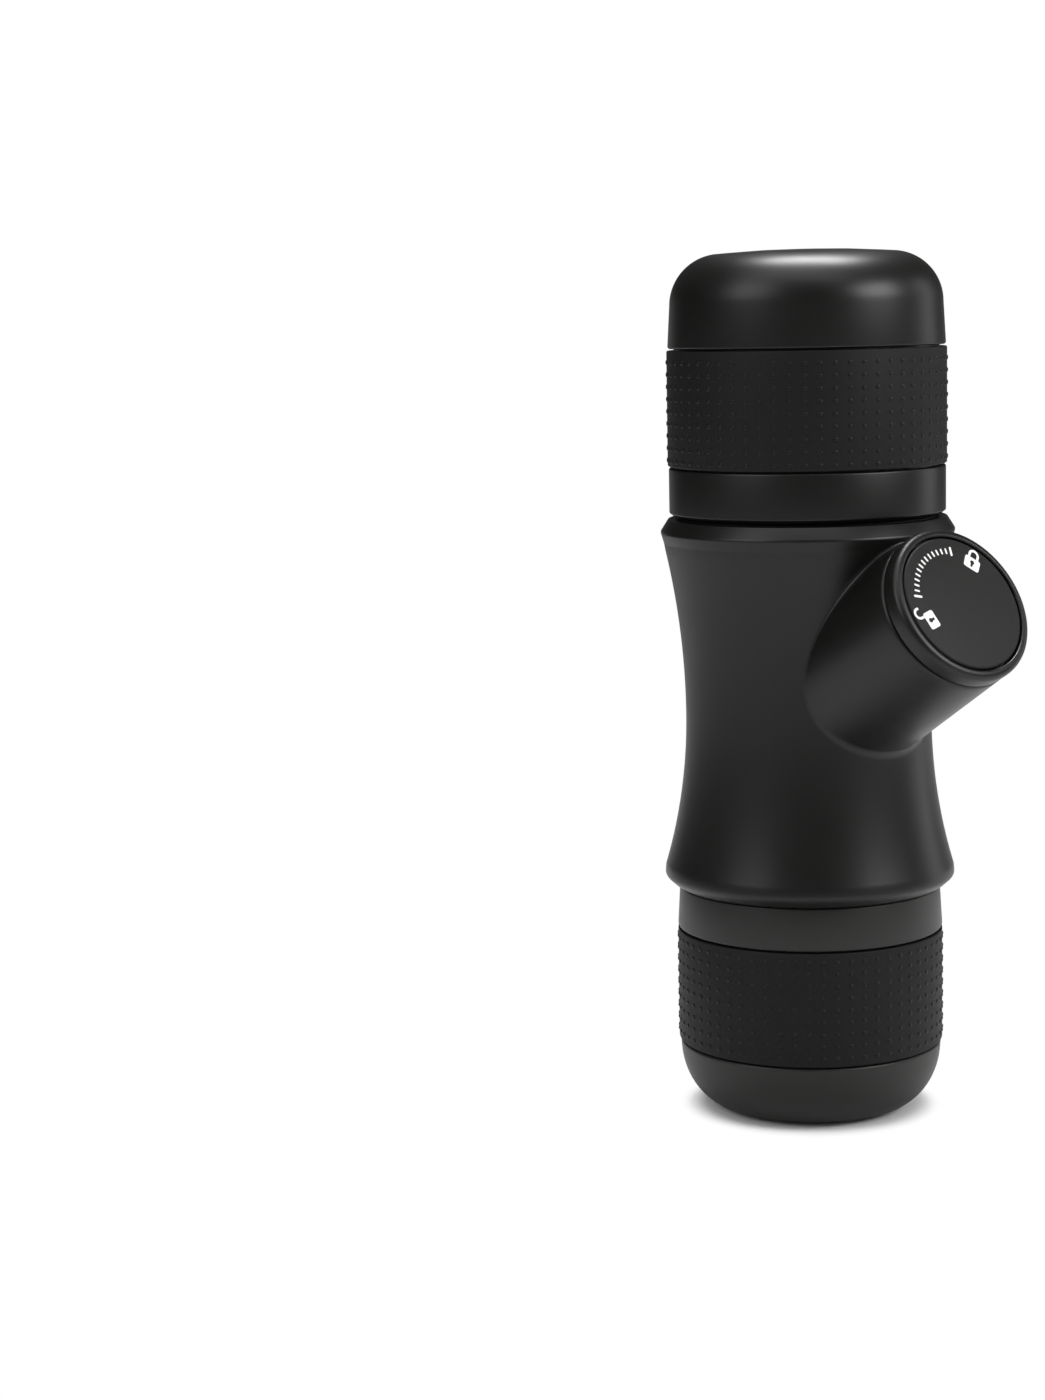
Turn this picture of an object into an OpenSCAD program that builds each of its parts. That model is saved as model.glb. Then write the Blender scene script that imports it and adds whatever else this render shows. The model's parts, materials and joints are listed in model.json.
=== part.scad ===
// Handheld manual espresso maker, closed and locked, standing on its own cup.
// Millimetres. The origin is the centre of the cup's flat base, +Z is up, and the
// pump arm leans out towards +X. From the floor up: cup, outlet head with the filter
// basket, waisted body with the pump in its slanted arm, and the water tank.

/* [Body shell] */
// Height of the body shell, from its underside to its top rim
shell_h = 76.45; // [74:0.05:82]
// Height of the narrowest place above the underside
waist_up = 35.4; // [32:0.1:39]
// Outer radius at the waist
waist_r = 25.35; // [24.8:0.05:26.5]
// Outer radius of the bottom flange
shell_low_r = 30.1; // [29.6:0.05:31.5]
// Outer radius just under the top lip
shell_top_r = 29.3; // [28.8:0.05:30.5]
// Wall of the body shell
shell_wall = 2.2; // [1.6:0.05:2.4]
// Height of the rounded lip at the top
lip_h = 6.1; // [5:0.1:7]
// How far the lip stands out
lip_out = 0.9; // [0.4:0.05:1.4]
// Width of the bevel at the lip's top
lip_bevel = 1.9; // [1:0.05:2.1]
// Height of the bevel under the bottom flange
low_bevel = 2.4; // [1.5:0.1:3.2]
// Thickness of the two inner ledges that carry the necks
ledge_t = 2.5; // [2:0.1:3.5]
// Radius of the opening through the two ledges
ledge_open_r = 20.8; // [20.6:0.05:21.6]
// Wall of the shell around the tank neck's flange
top_wall = 2.75; // [2.2:0.05:3]

/* [Pump arm] */
// Lean of the arm from the vertical
arm_tilt = 60; // [58:0.5:61]
// Height of the arm's axis above the underside, where it meets the body's axis
arm_up = 35.8; // [34.5:0.1:37]
// Distance from the body's axis to the arm's mouth, along the arm
arm_len = 48.35; // [47:0.05:51]
// Outer radius of the arm at its mouth
arm_mouth_r = 16.3; // [15.9:0.05:17]
// Draft angle of the arm's outside
arm_draft = 2.6; // [1:0.1:3.5]
// Radius of the arm's bore
arm_bore_r = 14.2; // [13.8:0.05:14.6]
// Extra radius of the flare at the arm's root
arm_flare = 2.4; // [1:0.1:3.5]
// Length of that flare
arm_flare_len = 9; // [6:0.5:12]

/* [Cup] */
// Height of the cup from its base to its rim
cup_h = 47.05; // [46:0.05:52]
// Wall of the cup behind its grip
cup_wall = 1.3; // [1:0.05:2]
// Thickness of the cup's floor
cup_floor_t = 2.4; // [1.8:0.1:3]
// Radius of the flat that the cup stands on
cup_base_r = 16.4; // [14:0.1:18]
// Height of the rounded lower part
cup_round_h = 14.1; // [13:0.1:15]
// Height of the smooth band between the grip and the rim
cup_band_h = 8.75; // [7:0.05:10]
// How much the band draws in at the rim
cup_rim_in = 0.5; // [0.2:0.05:0.7]
// Depth of the wider mouth inside the rim
cup_mouth_h = 6.2; // [5:0.1:7]

/* [Outlet head] */
// Length of the outlet head from its top edge to its outlet face
head_len = 38.6; // [37:0.1:40]
// Wall of the head around its thread
head_wall = 1.95; // [1.6:0.05:2.4]
// Length of the rounded lower part
head_dome_len = 20.7; // [18:0.1:22]
// Wall of the rounded part
head_dome_wall = 2.2; // [1.6:0.1:2.8]
// Radius of the flat outlet face
outlet_face_r = 14.2; // [12:0.1:16]
// Thickness of the shoulder that the basket's rim lies on
shoulder_t = 2.3; // [1.6:0.1:3]
// Radius of the outlet hole
outlet_r = 2; // [1.5:0.1:2.6]
// Radius of the spout ring around the outlet hole
spout_r = 4.2; // [3.6:0.1:5.5]
// How far the spout ring stands out
spout_h = 1; // [0.5:0.1:1.5]
// Height of the two ridges that hold the cup
ridge_h = 0.75; // [0.5:0.05:0.9]
// Spacing of those two ridges
ridge_pitch = 2; // [1.6:0.1:2.4]

/* [Filter basket] */
// Outer radius of the basket's wall
basket_r = 19; // [18.6:0.05:19.1]
// Depth of the basket
basket_h = 15; // [12:0.1:16]
// Sheet thickness of the basket
basket_t = 0.8; // [0.5:0.05:1]
// Thickness of the sealing ring above the basket's rim
brew_gasket_t = 1.4; // [1:0.1:1.8]
// Radius of a hole in the basket's floor
basket_hole_r = 0.55; // [0.4:0.05:0.7]

/* [Brew neck] */
// Wall of the threaded brew neck
brew_wall = 1.8; // [1.6:0.05:2.2]
// Length of the brew neck below the lower ledge
brew_len = 11.9; // [11.5:0.1:12.5]
// How far the brew neck reaches below the shell's underside
brew_drop = 6.7; // [6.6:0.05:6.8]
// Outer radius of the brew neck's flange
brew_flange_r = 25.1; // [24.8:0.05:25.8]
// Thickness of that flange
brew_flange_t = 4; // [3.4:0.1:4.2]
// Thickness of the plate inside the brew neck
brew_roof_t = 3; // [2.5:0.1:3.4]
// Depth of that plate's top below the lower ledge
brew_roof_drop = 5.4; // [5:0.1:5.8]
// Thickness of the shower plate
shower_t = 1; // [0.8:0.1:1.2]
// Radius of a hole in the shower plate
shower_hole_r = 0.6; // [0.4:0.05:0.8]

/* [Water tank] */
// Height of the tank from its mouth to its crown
tank_h = 53.95; // [50:0.05:60]
// Wall of the tank behind its grip
tank_wall = 2.4; // [1.8:0.05:3]
// Height of the smooth band under the grip
tank_band_h = 10.1; // [9.5:0.1:12]
// Height of the smooth cap above the grip
tank_cap_h = 19.6; // [17:0.1:21]
// Radius of the cap's rounded edge
tank_corner_r = 10.4; // [8:0.1:12]
// Rise of the crown above the rounded edge
tank_crown = 0.6; // [0.3:0.1:1.2]
// How much the cap draws in towards its rounded edge
tank_taper = 0.5; // [0.2:0.05:0.8]
// Depth of the tank's threaded mouth
tank_mouth_h = 9.5; // [9:0.1:11]

/* [Tank neck] */
// Wall of the tank neck
tank_neck_wall = 2; // [1.8:0.05:2.2]
// Height of the neck above its flange
tank_neck_h = 10.8; // [10.4:0.1:12]
// Thickness of the tank neck's flange
tank_flange_t = 5.5; // [5:0.1:6]
// Thickness of the tank's floor plate
tank_floor_t = 3; // [2.6:0.1:3.4]
// Radius of the intake screen
screen_r = 5.1; // [4.6:0.1:5.4]
// Thickness of the intake screen
screen_t = 0.8; // [0.6:0.1:1]
// Height of the flat ring that seals the tank
tank_gasket_h = 2; // [1.8:0.05:2.2]
// Width of that ring
tank_gasket_w = 1.75; // [1.5:0.05:1.9]

/* [Grips] */
// Thickness of the tank's rubber grip
tank_grip_t = 1.5; // [1.2:0.05:1.9]
// Thickness of the cup's rubber grip
cup_grip_t = 1.2; // [1:0.05:1.6]
// Width of the groove at each end of a grip
grip_groove = 0.35; // [0.2:0.05:0.6]
// Bevel on the edges beside those grooves
grip_bevel = 0.3; // [0.1:0.05:0.5]

/* [Screw threads] */
// Pitch of the tank's and the head's threads
thread_pitch = 4; // [3.8:0.1:4.2]
// Height of a thread lug
thread_h = 0.95; // [0.7:0.05:1]
// Width of a thread lug along the axis
thread_w = 1.4; // [1:0.05:1.6]
// Length of a thread lug around the axis
lug_len = 10; // [8:0.5:11]
// Lugs in one turn of a thread
lugs_per_turn = 10; // [9:1:10]
// Turns of the tank's thread
tank_thread_turns = 1; // [0.8:0.1:1]
// Turns of the outlet head's thread
head_thread_turns = 0.7; // [0.6:0.1:0.7]

/* [Piston] */
// Stroke of the piston
stroke = 25; // [22:0.5:25]
// Radius of the piston shaft
shaft_r = 9.5; // [9:0.05:9.8]
// Radius of the shaft's core between its ribs
shaft_core_r = 5.4; // [5.2:0.05:6]
// Width of a rib
rib_w = 3.2; // [2.6:0.1:3.6]
// Number of ribs
rib_count = 4; // [3:1:4]
// Radius of the guiding collar at the shaft's foot
foot_r = 10.6; // [10.3:0.05:10.7]
// Length of that collar
foot_len = 6; // [5:0.5:7]
// Radius of the plunger rod
rod_r = 3; // [2.8:0.05:3.2]
// Outer radius of the piston cap
cap_r = 16.25; // [15.9:0.05:16.8]
// Thickness of the piston cap
cap_t = 3.8; // [3.4:0.1:4.4]
// Rounding of the cap's front edge
cap_round = 1.2; // [0.6:0.1:1.4]
// Radius of the insert disc
insert_r = 14.4; // [13.6:0.05:14.6]
// Thickness of the insert disc
insert_t = 1.8; // [1.6:0.1:2]

/* [Pump] */
// Bore radius of the pump cylinder
pump_bore_r = 6; // [5.7:0.05:6.1]
// Wall of the pump cylinder
pump_wall = 1.2; // [1:0.05:1.3]
// Depth of the pump cylinder's seat under the housing's floor
cylinder_seat = 5; // [4.9:0.1:5.1]
// Length of the chamber under the pump cylinder
chamber_len = 3; // [2.8:0.1:3.1]
// Length of the plunger's head
plunger_len = 4.2; // [3.8:0.1:4.4]
// Section radius of the plunger's sealing ring
plunger_ring_r = 0.75; // [0.6:0.05:0.8]
// Wall of the pump housing
housing_wall = 1.95; // [1.6:0.05:2.1]
// Distance of the pump housing's floor behind the body's axis, along the arm
housing_back = 7; // [6.8:0.1:7.1]
// Thickness of the pump housing's floor
housing_floor_t = 2.5; // [2:0.1:3]
// Thickness of the lock ring in the arm's mouth
lock_ring_t = 5.1; // [4.5:0.1:5.5]
// Width of a lock ring key
key_w = 1.6; // [1.2:0.1:1.8]
// Turn of the piston from locked to unlocked, in degrees
lock_turn = 45; // [30:1:45]
// Mean radius of the return spring
spring_r = 8.6; // [8.5:0.05:8.8]
// Wire radius of the return spring
spring_wire_r = 0.65; // [0.5:0.05:0.7]
// Turns of the return spring
spring_turns = 6; // [5:1:8]

/* [Valves] */
// Radius of the valve block about the body's axis
block_r = 22; // [21.6:0.1:22.4]
// How far the valve block reaches below the arm's axis
block_down = 21; // [20.8:0.1:21.2]
// How far the valve block reaches above it
block_up = 7; // [6.8:0.1:7.2]
// Depth of the outlet valve's seat below the arm's axis
outlet_valve_drop = 11; // [10.8:0.1:11.2]
// Half width of the valve block
block_half_w = 11; // [10.5:0.1:12]
// Radius of the intake valve's ball
intake_ball_r = 2.1; // [1.9:0.05:2.2]
// Radius of the outlet valve's ball
outlet_ball_r = 2.3; // [2.1:0.05:2.4]
// Outer radius of the two water ducts
duct_r = 2.9; // [2.7:0.05:3]
// Bore radius of the two water ducts
duct_bore_r = 1.7; // [1.5:0.05:1.8]
// Distance of the intake duct from the body's axis
intake_x = 17.5; // [17.3:0.05:17.6]
// Distance of the pressure duct from the body's axis
outlet_x = 14; // [13.6:0.05:14.4]

/* [Fasteners] */
// Shank radius of the neck screws
neck_screw_r = 1; // [0.8:0.05:1.1]
// Head radius of the neck screws
neck_head_r = 1.75; // [1.5:0.05:1.8]
// Height of the neck screws' heads
neck_head_t = 1.6; // [1.2:0.1:1.8]
// How far the neck screws reach into the tank neck
neck_screw_bite = 3.2; // [2.6:0.1:4]
// Length of the screw in the plunger rod's end
rod_screw_len = 7.8; // [6:0.1:9]
// Shank radius of the two core screws
core_screw_r = 1.2; // [1:0.05:1.3]
// How far the core screws reach into the valve block
core_screw_bite = 6.3; // [5:0.1:7]
// Shank radius of the screw that holds the shower plate
shower_screw_r = 1; // [0.8:0.05:1.2]
// Head radius of that screw
shower_head_r = 2.2; // [1.8:0.05:2.6]

/* [Clearances] */
// Radial running clearance of shafts in their bores
run_gap = 0.05; // [0.02:0.01:0.08]
// Clearance of parts that are seated in each other
seat_gap = 0.05; // [0.02:0.01:0.08]
// Radial gap between a thread's crest and the wall across from it
thread_gap = 0.35; // [0.3:0.05:0.5]
// Gap between the cup and the outlet head
cup_gap = 0.4; // [0.3:0.05:0.5]
// Gap between the basket's wall and what surrounds it
basket_gap = 0.4; // [0.3:0.05:0.5]
// Gap between the cup's rim and the body shell
rim_gap = 0.15; // [0.1:0.05:0.4]
// Gap between the tank and the body shell
tank_gap = 0.4; // [0.2:0.05:0.6]
// Gap between the neck screws' heads and the walls beside them
head_gap = 0.15; // [0.1:0.05:0.2]

/* [Hidden] */
round_fn = 96;
arc_steps = 12;
cut = 1;
lug_sink = 0.4;

// Heights, from the floor up
shell_z0 = cup_h + rim_gap;
shell_z1 = shell_z0 + shell_h;
waist_z = shell_z0 + waist_up;
arm_z = shell_z0 + arm_up;
brew_end_z = shell_z0 - brew_drop;
low_ledge_z = brew_end_z + brew_len;
tank_z0 = shell_z1 + tank_gap;
tank_z1 = tank_z0 + tank_h;
tank_flange_z1 = tank_z0 - tank_gasket_h - seat_gap;
top_ledge_z = tank_flange_z1 - tank_flange_t;
tank_floor_z = top_ledge_z + tank_floor_t;
tank_neck_z1 = tank_flange_z1 + tank_neck_h;
brew_flange_z = low_ledge_z - brew_flange_t;
brew_roof_z = low_ledge_z - brew_roof_drop;
shower_z = brew_end_z + basket_gap + 0.7;
rim_z = brew_end_z - brew_gasket_t;
shoulder_z = rim_z - basket_t;
head_z1 = brew_flange_z - 0.5;
head_z0 = head_z1 - head_len;
dome_z = head_z0 + head_dome_len;

// Radii, from the axis out
brew_bore_r = basket_r + basket_gap + 0.2;
brew_neck_r = brew_bore_r + brew_wall;
head_bore_r = brew_neck_r + thread_h + thread_gap;
head_r = head_bore_r + head_wall;
ridge_r = head_r + ridge_h;
rim_r = head_bore_r - thread_h - 0.25;
cup_mouth_r = ridge_r + run_gap;
cup_bore_r = head_r + cup_gap;
cup_core_r = cup_bore_r + cup_wall;
cup_r = cup_core_r + cup_grip_t;
top_socket_r = shell_top_r - top_wall;
tank_flange_r = top_socket_r - seat_gap;
tank_gasket_r = tank_flange_r - 0.2;
tank_neck_r = tank_gasket_r - tank_gasket_w - 0.3 - thread_h;
tank_neck_bore_r = tank_neck_r - tank_neck_wall;
tank_bore_r = tank_neck_r + thread_h + thread_gap;
tank_core_r = tank_bore_r + tank_wall;
tank_r = tank_core_r + tank_grip_t;
tank_band_r = tank_r - 0.22;
low_socket_r = brew_flange_r + seat_gap;
low_screw_circle = brew_flange_r - neck_head_r - head_gap;
top_screw_circle = (ledge_open_r + top_socket_r) / 2 - 2 * head_gap;

// Places along the arm's axis, measured from the body's axis
ring_s = arm_len - lock_ring_t - seat_gap;
foot_top_s = ring_s - stroke - 0.2;
foot_s = foot_top_s - foot_len;
housing_s = -housing_back;
housing_floor_s = housing_s - housing_floor_t;
cylinder_s = housing_floor_s - cylinder_seat;
chamber_s = cylinder_s - chamber_len;
cylinder_end_s = foot_top_s - 1.8;
plunger_s = cylinder_s + 0.3;
plunger_top_s = plunger_s + plunger_len;
shaft_end_s = arm_len + 0.25;
cap_front_s = shaft_end_s + cap_t;
insert_front_s = cap_front_s - 0.1;
insert_s = insert_front_s - insert_t;
cap_floor_s = insert_s - seat_gap;
housing_bore_r = foot_r + run_gap;
housing_r = housing_bore_r + housing_wall;
pump_r = pump_bore_r + pump_wall;
pump_flange_r = pump_r + 0.8;
cap_boss_r = shaft_core_r - 1.1;
screw_pocket_r = cap_boss_r + 0.5;

// Angle of the first of the three screws in each neck
first_screw = 30;

// Valve block
block_z0 = arm_z - block_down;
block_z1 = arm_z + block_up;
duct_seat = 3;
intake_valve_z = arm_z - 0.4;
outlet_valve_z = arm_z - outlet_valve_drop;
valve_cap_t = 3;
valve_cap_r = 4;
channel_r = 1.2;
channel_drop = 6;
core_post_x = -8;
core_post_y = 8;
core_post_r = 3;
shower_boss_r = 3;
block_face_x = -3;

shell_black = [0.10, 0.10, 0.105];
grip_black = [0.06, 0.06, 0.065];
rubber_black = [0.04, 0.04, 0.04];
inner_grey = [0.35, 0.35, 0.37];
pump_white = [0.82, 0.82, 0.80];
steel = [0.72, 0.73, 0.75];

// Radius of the arc that is upright at the waist and reaches radius r at a distance dz from it
function waist_arc(r, dz) = (dz * dz + (r - waist_r) * (r - waist_r)) / (2 * (r - waist_r));
low_arc = waist_arc(shell_low_r, waist_up - low_bevel - 1);
top_arc = waist_arc(shell_top_r, shell_h - lip_h - waist_up);

// Outer radius of the body shell at height z
function shell_r(z) =
    let (dz = z - waist_z, a = dz < 0 ? low_arc : top_arc)
    waist_r + a - sqrt(a * a - dz * dz);

// Points of the shell's waisted side between two heights, drawn in by a wall
function shell_side(z0, z1, wall) =
    [for (i = [0:2 * arc_steps]) let (z = z0 + (z1 - z0) * i / (2 * arc_steps)) [shell_r(z) - wall, z]];

// Points on an arc around c from angle a0 to a1
function arc(c, r, a0, a1, n = arc_steps) =
    [for (i = [0:n]) let (a = a0 + (a1 - a0) * i / n) [c[0] + r * cos(a), c[1] + r * sin(a)]];

// Points on the lower half of an ellipse around c, from a0 to a1 degrees below its side
function bowl(c, rx, rz, a0, a1, n = arc_steps) =
    [for (i = [0:n]) let (a = a0 + (a1 - a0) * i / n) [c[0] + rx * cos(a), c[1] - rz * sin(a)]];

// A solid of revolution from points [radius, height]
module lathe(points) {
    rotate_extrude($fn = round_fn) polygon(points);
}

// A ring with a rectangular section
module ring(inner, outer, z0, z1) {
    lathe([[inner, z0], [outer, z0], [outer, z1], [inner, z1]]);
}

// A round rod or hole from z0 to z1
module rod(r, z0, z1) {
    translate([0, 0, z0]) cylinder(h = z1 - z0, r = r, $fn = round_fn);
}

// Places its children on the arm's axis, with +Z outwards along the arm
module on_arm() {
    translate([0, 0, arm_z]) rotate([0, arm_tilt, 0]) children();
}

// Copies its children around the Z axis
module around(count, r, start = 0) {
    for (i = [0:count - 1]) rotate([0, 0, start + 360 * i / count]) translate([r, 0, 0]) children();
}

// One row of round holes around the axis, through z0 to z1
module hole_rings(hole_r, first_r, step_r, rings, z0, z1) {
    rod(hole_r, z0, z1);
    for (k = [1:rings]) around(6 * k, first_r + step_r * (k - 1)) rod(hole_r, z0, z1);
}

// A right-hand thread of short lugs on the wall of radius wall_r, its first lug at height z0.
// side is 1 where the lugs stand outwards, -1 where they stand inwards.
module thread_lugs(wall_r, z0, turns, side) {
    inner = side > 0 ? wall_r - lug_sink : wall_r - thread_h;
    outer = side > 0 ? wall_r + thread_h : wall_r + lug_sink;
    slope = atan(thread_pitch / (2 * PI * wall_r));
    for (i = [0:round(turns * lugs_per_turn) - 1]) {
        z = z0 + thread_pitch * i / lugs_per_turn;
        intersection() {
            ring(inner, outer, z - thread_pitch / 2, z + thread_pitch / 2);
            rotate([0, 0, 360 * i / lugs_per_turn]) translate([wall_r, 0, z]) rotate([slope, 0, 0])
                cube([4 * thread_h, lug_len, thread_w], center = true);
        }
    }
}

// A coil spring of round wire around the Z axis, from z0 to z1
module coil(r, wire_r, turns, z0, z1) {
    rings = turns * 12;
    wire_sides = 6;
    low = z0 + wire_r;
    high = z1 - wire_r;
    points = [for (i = [0:rings])
        let (a = 360 * turns * i / rings, z = low + (high - low) * i / rings)
        each [for (j = [0:wire_sides - 1])
            let (b = 360 * j / wire_sides, q = r + wire_r * cos(b))
            [q * cos(a), q * sin(a), z + wire_r * sin(b)]]];
    sides = [for (i = [0:rings - 1]) for (j = [0:wire_sides - 1])
        let (a = wire_sides * i + j, b = wire_sides * i + (j + 1) % wire_sides)
        each [[b + wire_sides, b, a], [a + wire_sides, b + wire_sides, a]]];
    last = wire_sides * rings;
    ends = [for (j = [1:wire_sides - 2]) each [[j + 1, 0, j], [last + j, last, last + j + 1]]];
    polyhedron(points, concat(sides, ends));
}

// ---------------------------------------------------------------- body

// Waisted outer shell with the slanted arm
module body_shell() {
    lip_z = shell_z1 - lip_h;
    outside = concat(
        [[0, shell_z0], [shell_low_r - 2.8, shell_z0], [shell_low_r - 0.5, shell_z0 + low_bevel]],
        shell_side(shell_z0 + low_bevel + 1, lip_z, 0),
        [[shell_top_r + 0.35 * lip_out, lip_z + 0.24 * lip_h],
            [shell_top_r + 0.85 * lip_out, lip_z + 0.44 * lip_h],
            [shell_top_r + lip_out, lip_z + 0.6 * lip_h],
            [shell_top_r + 0.8 * lip_out, lip_z + 0.75 * lip_h],
            [shell_top_r + lip_out - lip_bevel, shell_z1], [0, shell_z1]]);
    inside = concat(
        [[0, shell_z0 - cut], [low_socket_r, shell_z0 - cut], [low_socket_r, low_ledge_z],
            [ledge_open_r, low_ledge_z], [ledge_open_r, low_ledge_z + ledge_t]],
        shell_side(low_ledge_z + ledge_t, top_ledge_z - ledge_t, shell_wall),
        [[ledge_open_r, top_ledge_z - ledge_t], [ledge_open_r, top_ledge_z],
            [top_socket_r, top_ledge_z], [top_socket_r, shell_z1 + cut], [0, shell_z1 + cut]]);
    root_r = arm_mouth_r + arm_len * tan(arm_draft);
    flare_s = (waist_r - arm_mouth_r * cos(arm_tilt)) / sin(arm_tilt) - 1;
    color(shell_black) difference() {
        union() {
            lathe(outside);
            on_arm() cylinder(h = arm_len, r1 = root_r, r2 = arm_mouth_r, $fn = round_fn);
            on_arm() translate([0, 0, flare_s])
                cylinder(h = arm_flare_len, r1 = arm_mouth_r + (arm_len - flare_s) * tan(arm_draft) + arm_flare,
                    r2 = arm_mouth_r + (arm_len - flare_s - arm_flare_len) * tan(arm_draft), $fn = round_fn);
        }
        lathe(inside);
        on_arm() rod(arm_bore_r, 0, arm_len + cut);
        around(3, low_screw_circle, first_screw)
            rod(neck_screw_r, low_ledge_z - cut, low_ledge_z + ledge_t + cut);
        around(3, top_screw_circle, first_screw)
            rod(neck_screw_r, top_ledge_z - ledge_t - cut, top_ledge_z + cut);
    }
}

// Threaded neck with the tank's floor, seated on the shell's upper ledge
module tank_neck() {
    color(inner_grey) difference() {
        union() {
            lathe([[0, top_ledge_z], [tank_flange_r, top_ledge_z], [tank_flange_r, tank_flange_z1],
                [tank_neck_r, tank_flange_z1], [tank_neck_r, tank_neck_z1],
                [tank_neck_bore_r, tank_neck_z1], [tank_neck_bore_r, tank_floor_z], [0, tank_floor_z]]);
            thread_lugs(tank_neck_r, tank_z0 + 3.45, tank_thread_turns, 1);
        }
        translate([-intake_x + 2, 0, 0]) rod(screen_r + seat_gap, tank_floor_z - screen_t, tank_floor_z + cut);
        translate([-intake_x, 0, 0]) rod(duct_bore_r, top_ledge_z - cut, tank_floor_z);
        translate([-intake_x, 0, 0]) rod(duct_r + seat_gap, top_ledge_z - cut, tank_floor_z - screen_t - 0.5);
        around(3, top_screw_circle, first_screw)
            rod(neck_screw_r, top_ledge_z - cut, top_ledge_z + neck_screw_bite + 0.2);
    }
}

// Perforated screen over the intake, let into the tank's floor
module intake_screen() {
    color(steel) translate([-intake_x + 2, 0, 0]) difference() {
        rod(screen_r, tank_floor_z - screen_t, tank_floor_z);
        hole_rings(0.45, 1.9, 1.7, 2, tank_floor_z - screen_t - cut, tank_floor_z + cut);
    }
}

// Tube that brings water from the tank's floor down to the intake valve
module intake_duct() {
    color(pump_white) translate([-intake_x, 0, 0])
        ring(duct_bore_r, duct_r, block_z1 - duct_seat, tank_floor_z - screen_t - 0.5);
}

// Block that holds the pump's blind end and both valves
module valve_block() {
    color(inner_grey) difference() {
        intersection() {
            rod(block_r, block_z0, block_z1);
            translate([-block_r, -block_half_w, block_z0])
                cube([block_r + block_face_x, 2 * block_half_w, block_z1 - block_z0]);
        }
        on_arm() rod(housing_r + seat_gap, housing_floor_s, arm_len);
        on_arm() rod(pump_flange_r + seat_gap, housing_floor_s - 1.5, arm_len);
        on_arm() rod(pump_r + seat_gap, cylinder_s - 0.8, arm_len);
        on_arm() rod(pump_bore_r, chamber_s, arm_len);
        translate([-intake_x, 0, 0]) {
            rod(channel_r, arm_z - channel_drop, intake_valve_z + cut);
            rod(intake_ball_r + 0.5, intake_valve_z, block_z1 - duct_seat);
            rod(duct_r + seat_gap, block_z1 - duct_seat, block_z1 + cut);
        }
        translate([-outlet_x, 0, 0]) {
            rod(channel_r, outlet_valve_z - cut, arm_z - channel_drop);
            rod(outlet_ball_r + 0.6, block_z0 + valve_cap_t, outlet_valve_z);
            rod(valve_cap_r + seat_gap, block_z0 - cut, block_z0 + valve_cap_t);
        }
        for (side = [-1, 1]) translate([core_post_x, side * core_post_y, 0])
            rod(core_screw_r, block_z0 - cut, block_z0 + core_screw_bite + 0.2);
    }
}

// Ball of the intake valve
module intake_ball() {
    color(steel) translate([-intake_x, 0, intake_valve_z + intake_ball_r + 0.05])
        sphere(r = intake_ball_r, $fn = round_fn);
}

outlet_ball_z = outlet_valve_z - sqrt(outlet_ball_r * outlet_ball_r - channel_r * channel_r) - 0.1;
outlet_spring_r = 0.7 * outlet_ball_r;

// Ball of the outlet valve, under its seat
module outlet_ball() {
    color(steel) translate([-outlet_x, 0, outlet_ball_z]) sphere(r = outlet_ball_r, $fn = round_fn);
}

// Small spring that presses the outlet ball against its seat
module outlet_spring() {
    wire_r = 0.25;
    top = outlet_ball_z - sqrt(outlet_ball_r * outlet_ball_r - outlet_spring_r * outlet_spring_r) - wire_r;
    color(steel) translate([-outlet_x, 0, 0])
        coil(outlet_spring_r, wire_r, 4, block_z0 + valve_cap_t + 0.05, top);
}

// Plug that closes the outlet valve and receives the pressure duct
module valve_cap() {
    color(pump_white) translate([-outlet_x, 0, 0]) difference() {
        rod(valve_cap_r, block_z0, block_z0 + valve_cap_t);
        rod(duct_r + seat_gap, block_z0 - cut, block_z0 + 2);
        rod(channel_r, block_z0, block_z0 + valve_cap_t + cut);
    }
}

// Tube that brings hot water under pressure down to the brew neck
module pressure_duct() {
    color(pump_white) translate([-outlet_x, 0, 0])
        ring(duct_bore_r, duct_r, brew_roof_z - 1.5, block_z0 + 2);
}

// Cylinder that the plunger runs in
module pump_cylinder() {
    color(pump_white) on_arm() lathe([[pump_bore_r, cylinder_s], [pump_r, cylinder_s],
        [pump_r, housing_floor_s - 1.5], [pump_flange_r, housing_floor_s - 1.5],
        [pump_flange_r, housing_floor_s], [pump_r, housing_floor_s],
        [pump_r, cylinder_end_s], [pump_bore_r, cylinder_end_s]]);
}

// Flat ring that seals the cylinder in the valve block
module cylinder_seal() {
    color(rubber_black) on_arm() ring(pump_bore_r + 0.1, pump_r, cylinder_s - 0.8, cylinder_s);
}

// Sleeve that guides the piston's foot and holds the return spring
module pump_housing() {
    color(inner_grey) on_arm() lathe([[pump_r + seat_gap, housing_floor_s], [housing_r, housing_floor_s],
        [housing_r, ring_s - 3], [arm_bore_r - seat_gap, ring_s - 3], [arm_bore_r - seat_gap, ring_s],
        [housing_bore_r, ring_s], [housing_bore_r, housing_s], [pump_r + seat_gap, housing_s]]);
}

// Ring in the arm's mouth, with one key for each groove of the shaft
module lock_ring() {
    key_r = shaft_core_r + 1.6;
    color(shell_black) on_arm() {
        ring(shaft_r + run_gap, arm_bore_r - seat_gap, ring_s, arm_len - seat_gap);
        around(rib_count, 0, key_start) translate([key_r, -key_w / 2, ring_s])
            cube([shaft_r + 1 - key_r, key_w, lock_ring_t]);
    }
}

// Angle of a key from the middle of the rib beside it, at the locked end of the turn
key_start = 180 / rib_count - lock_turn / 2;

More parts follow.
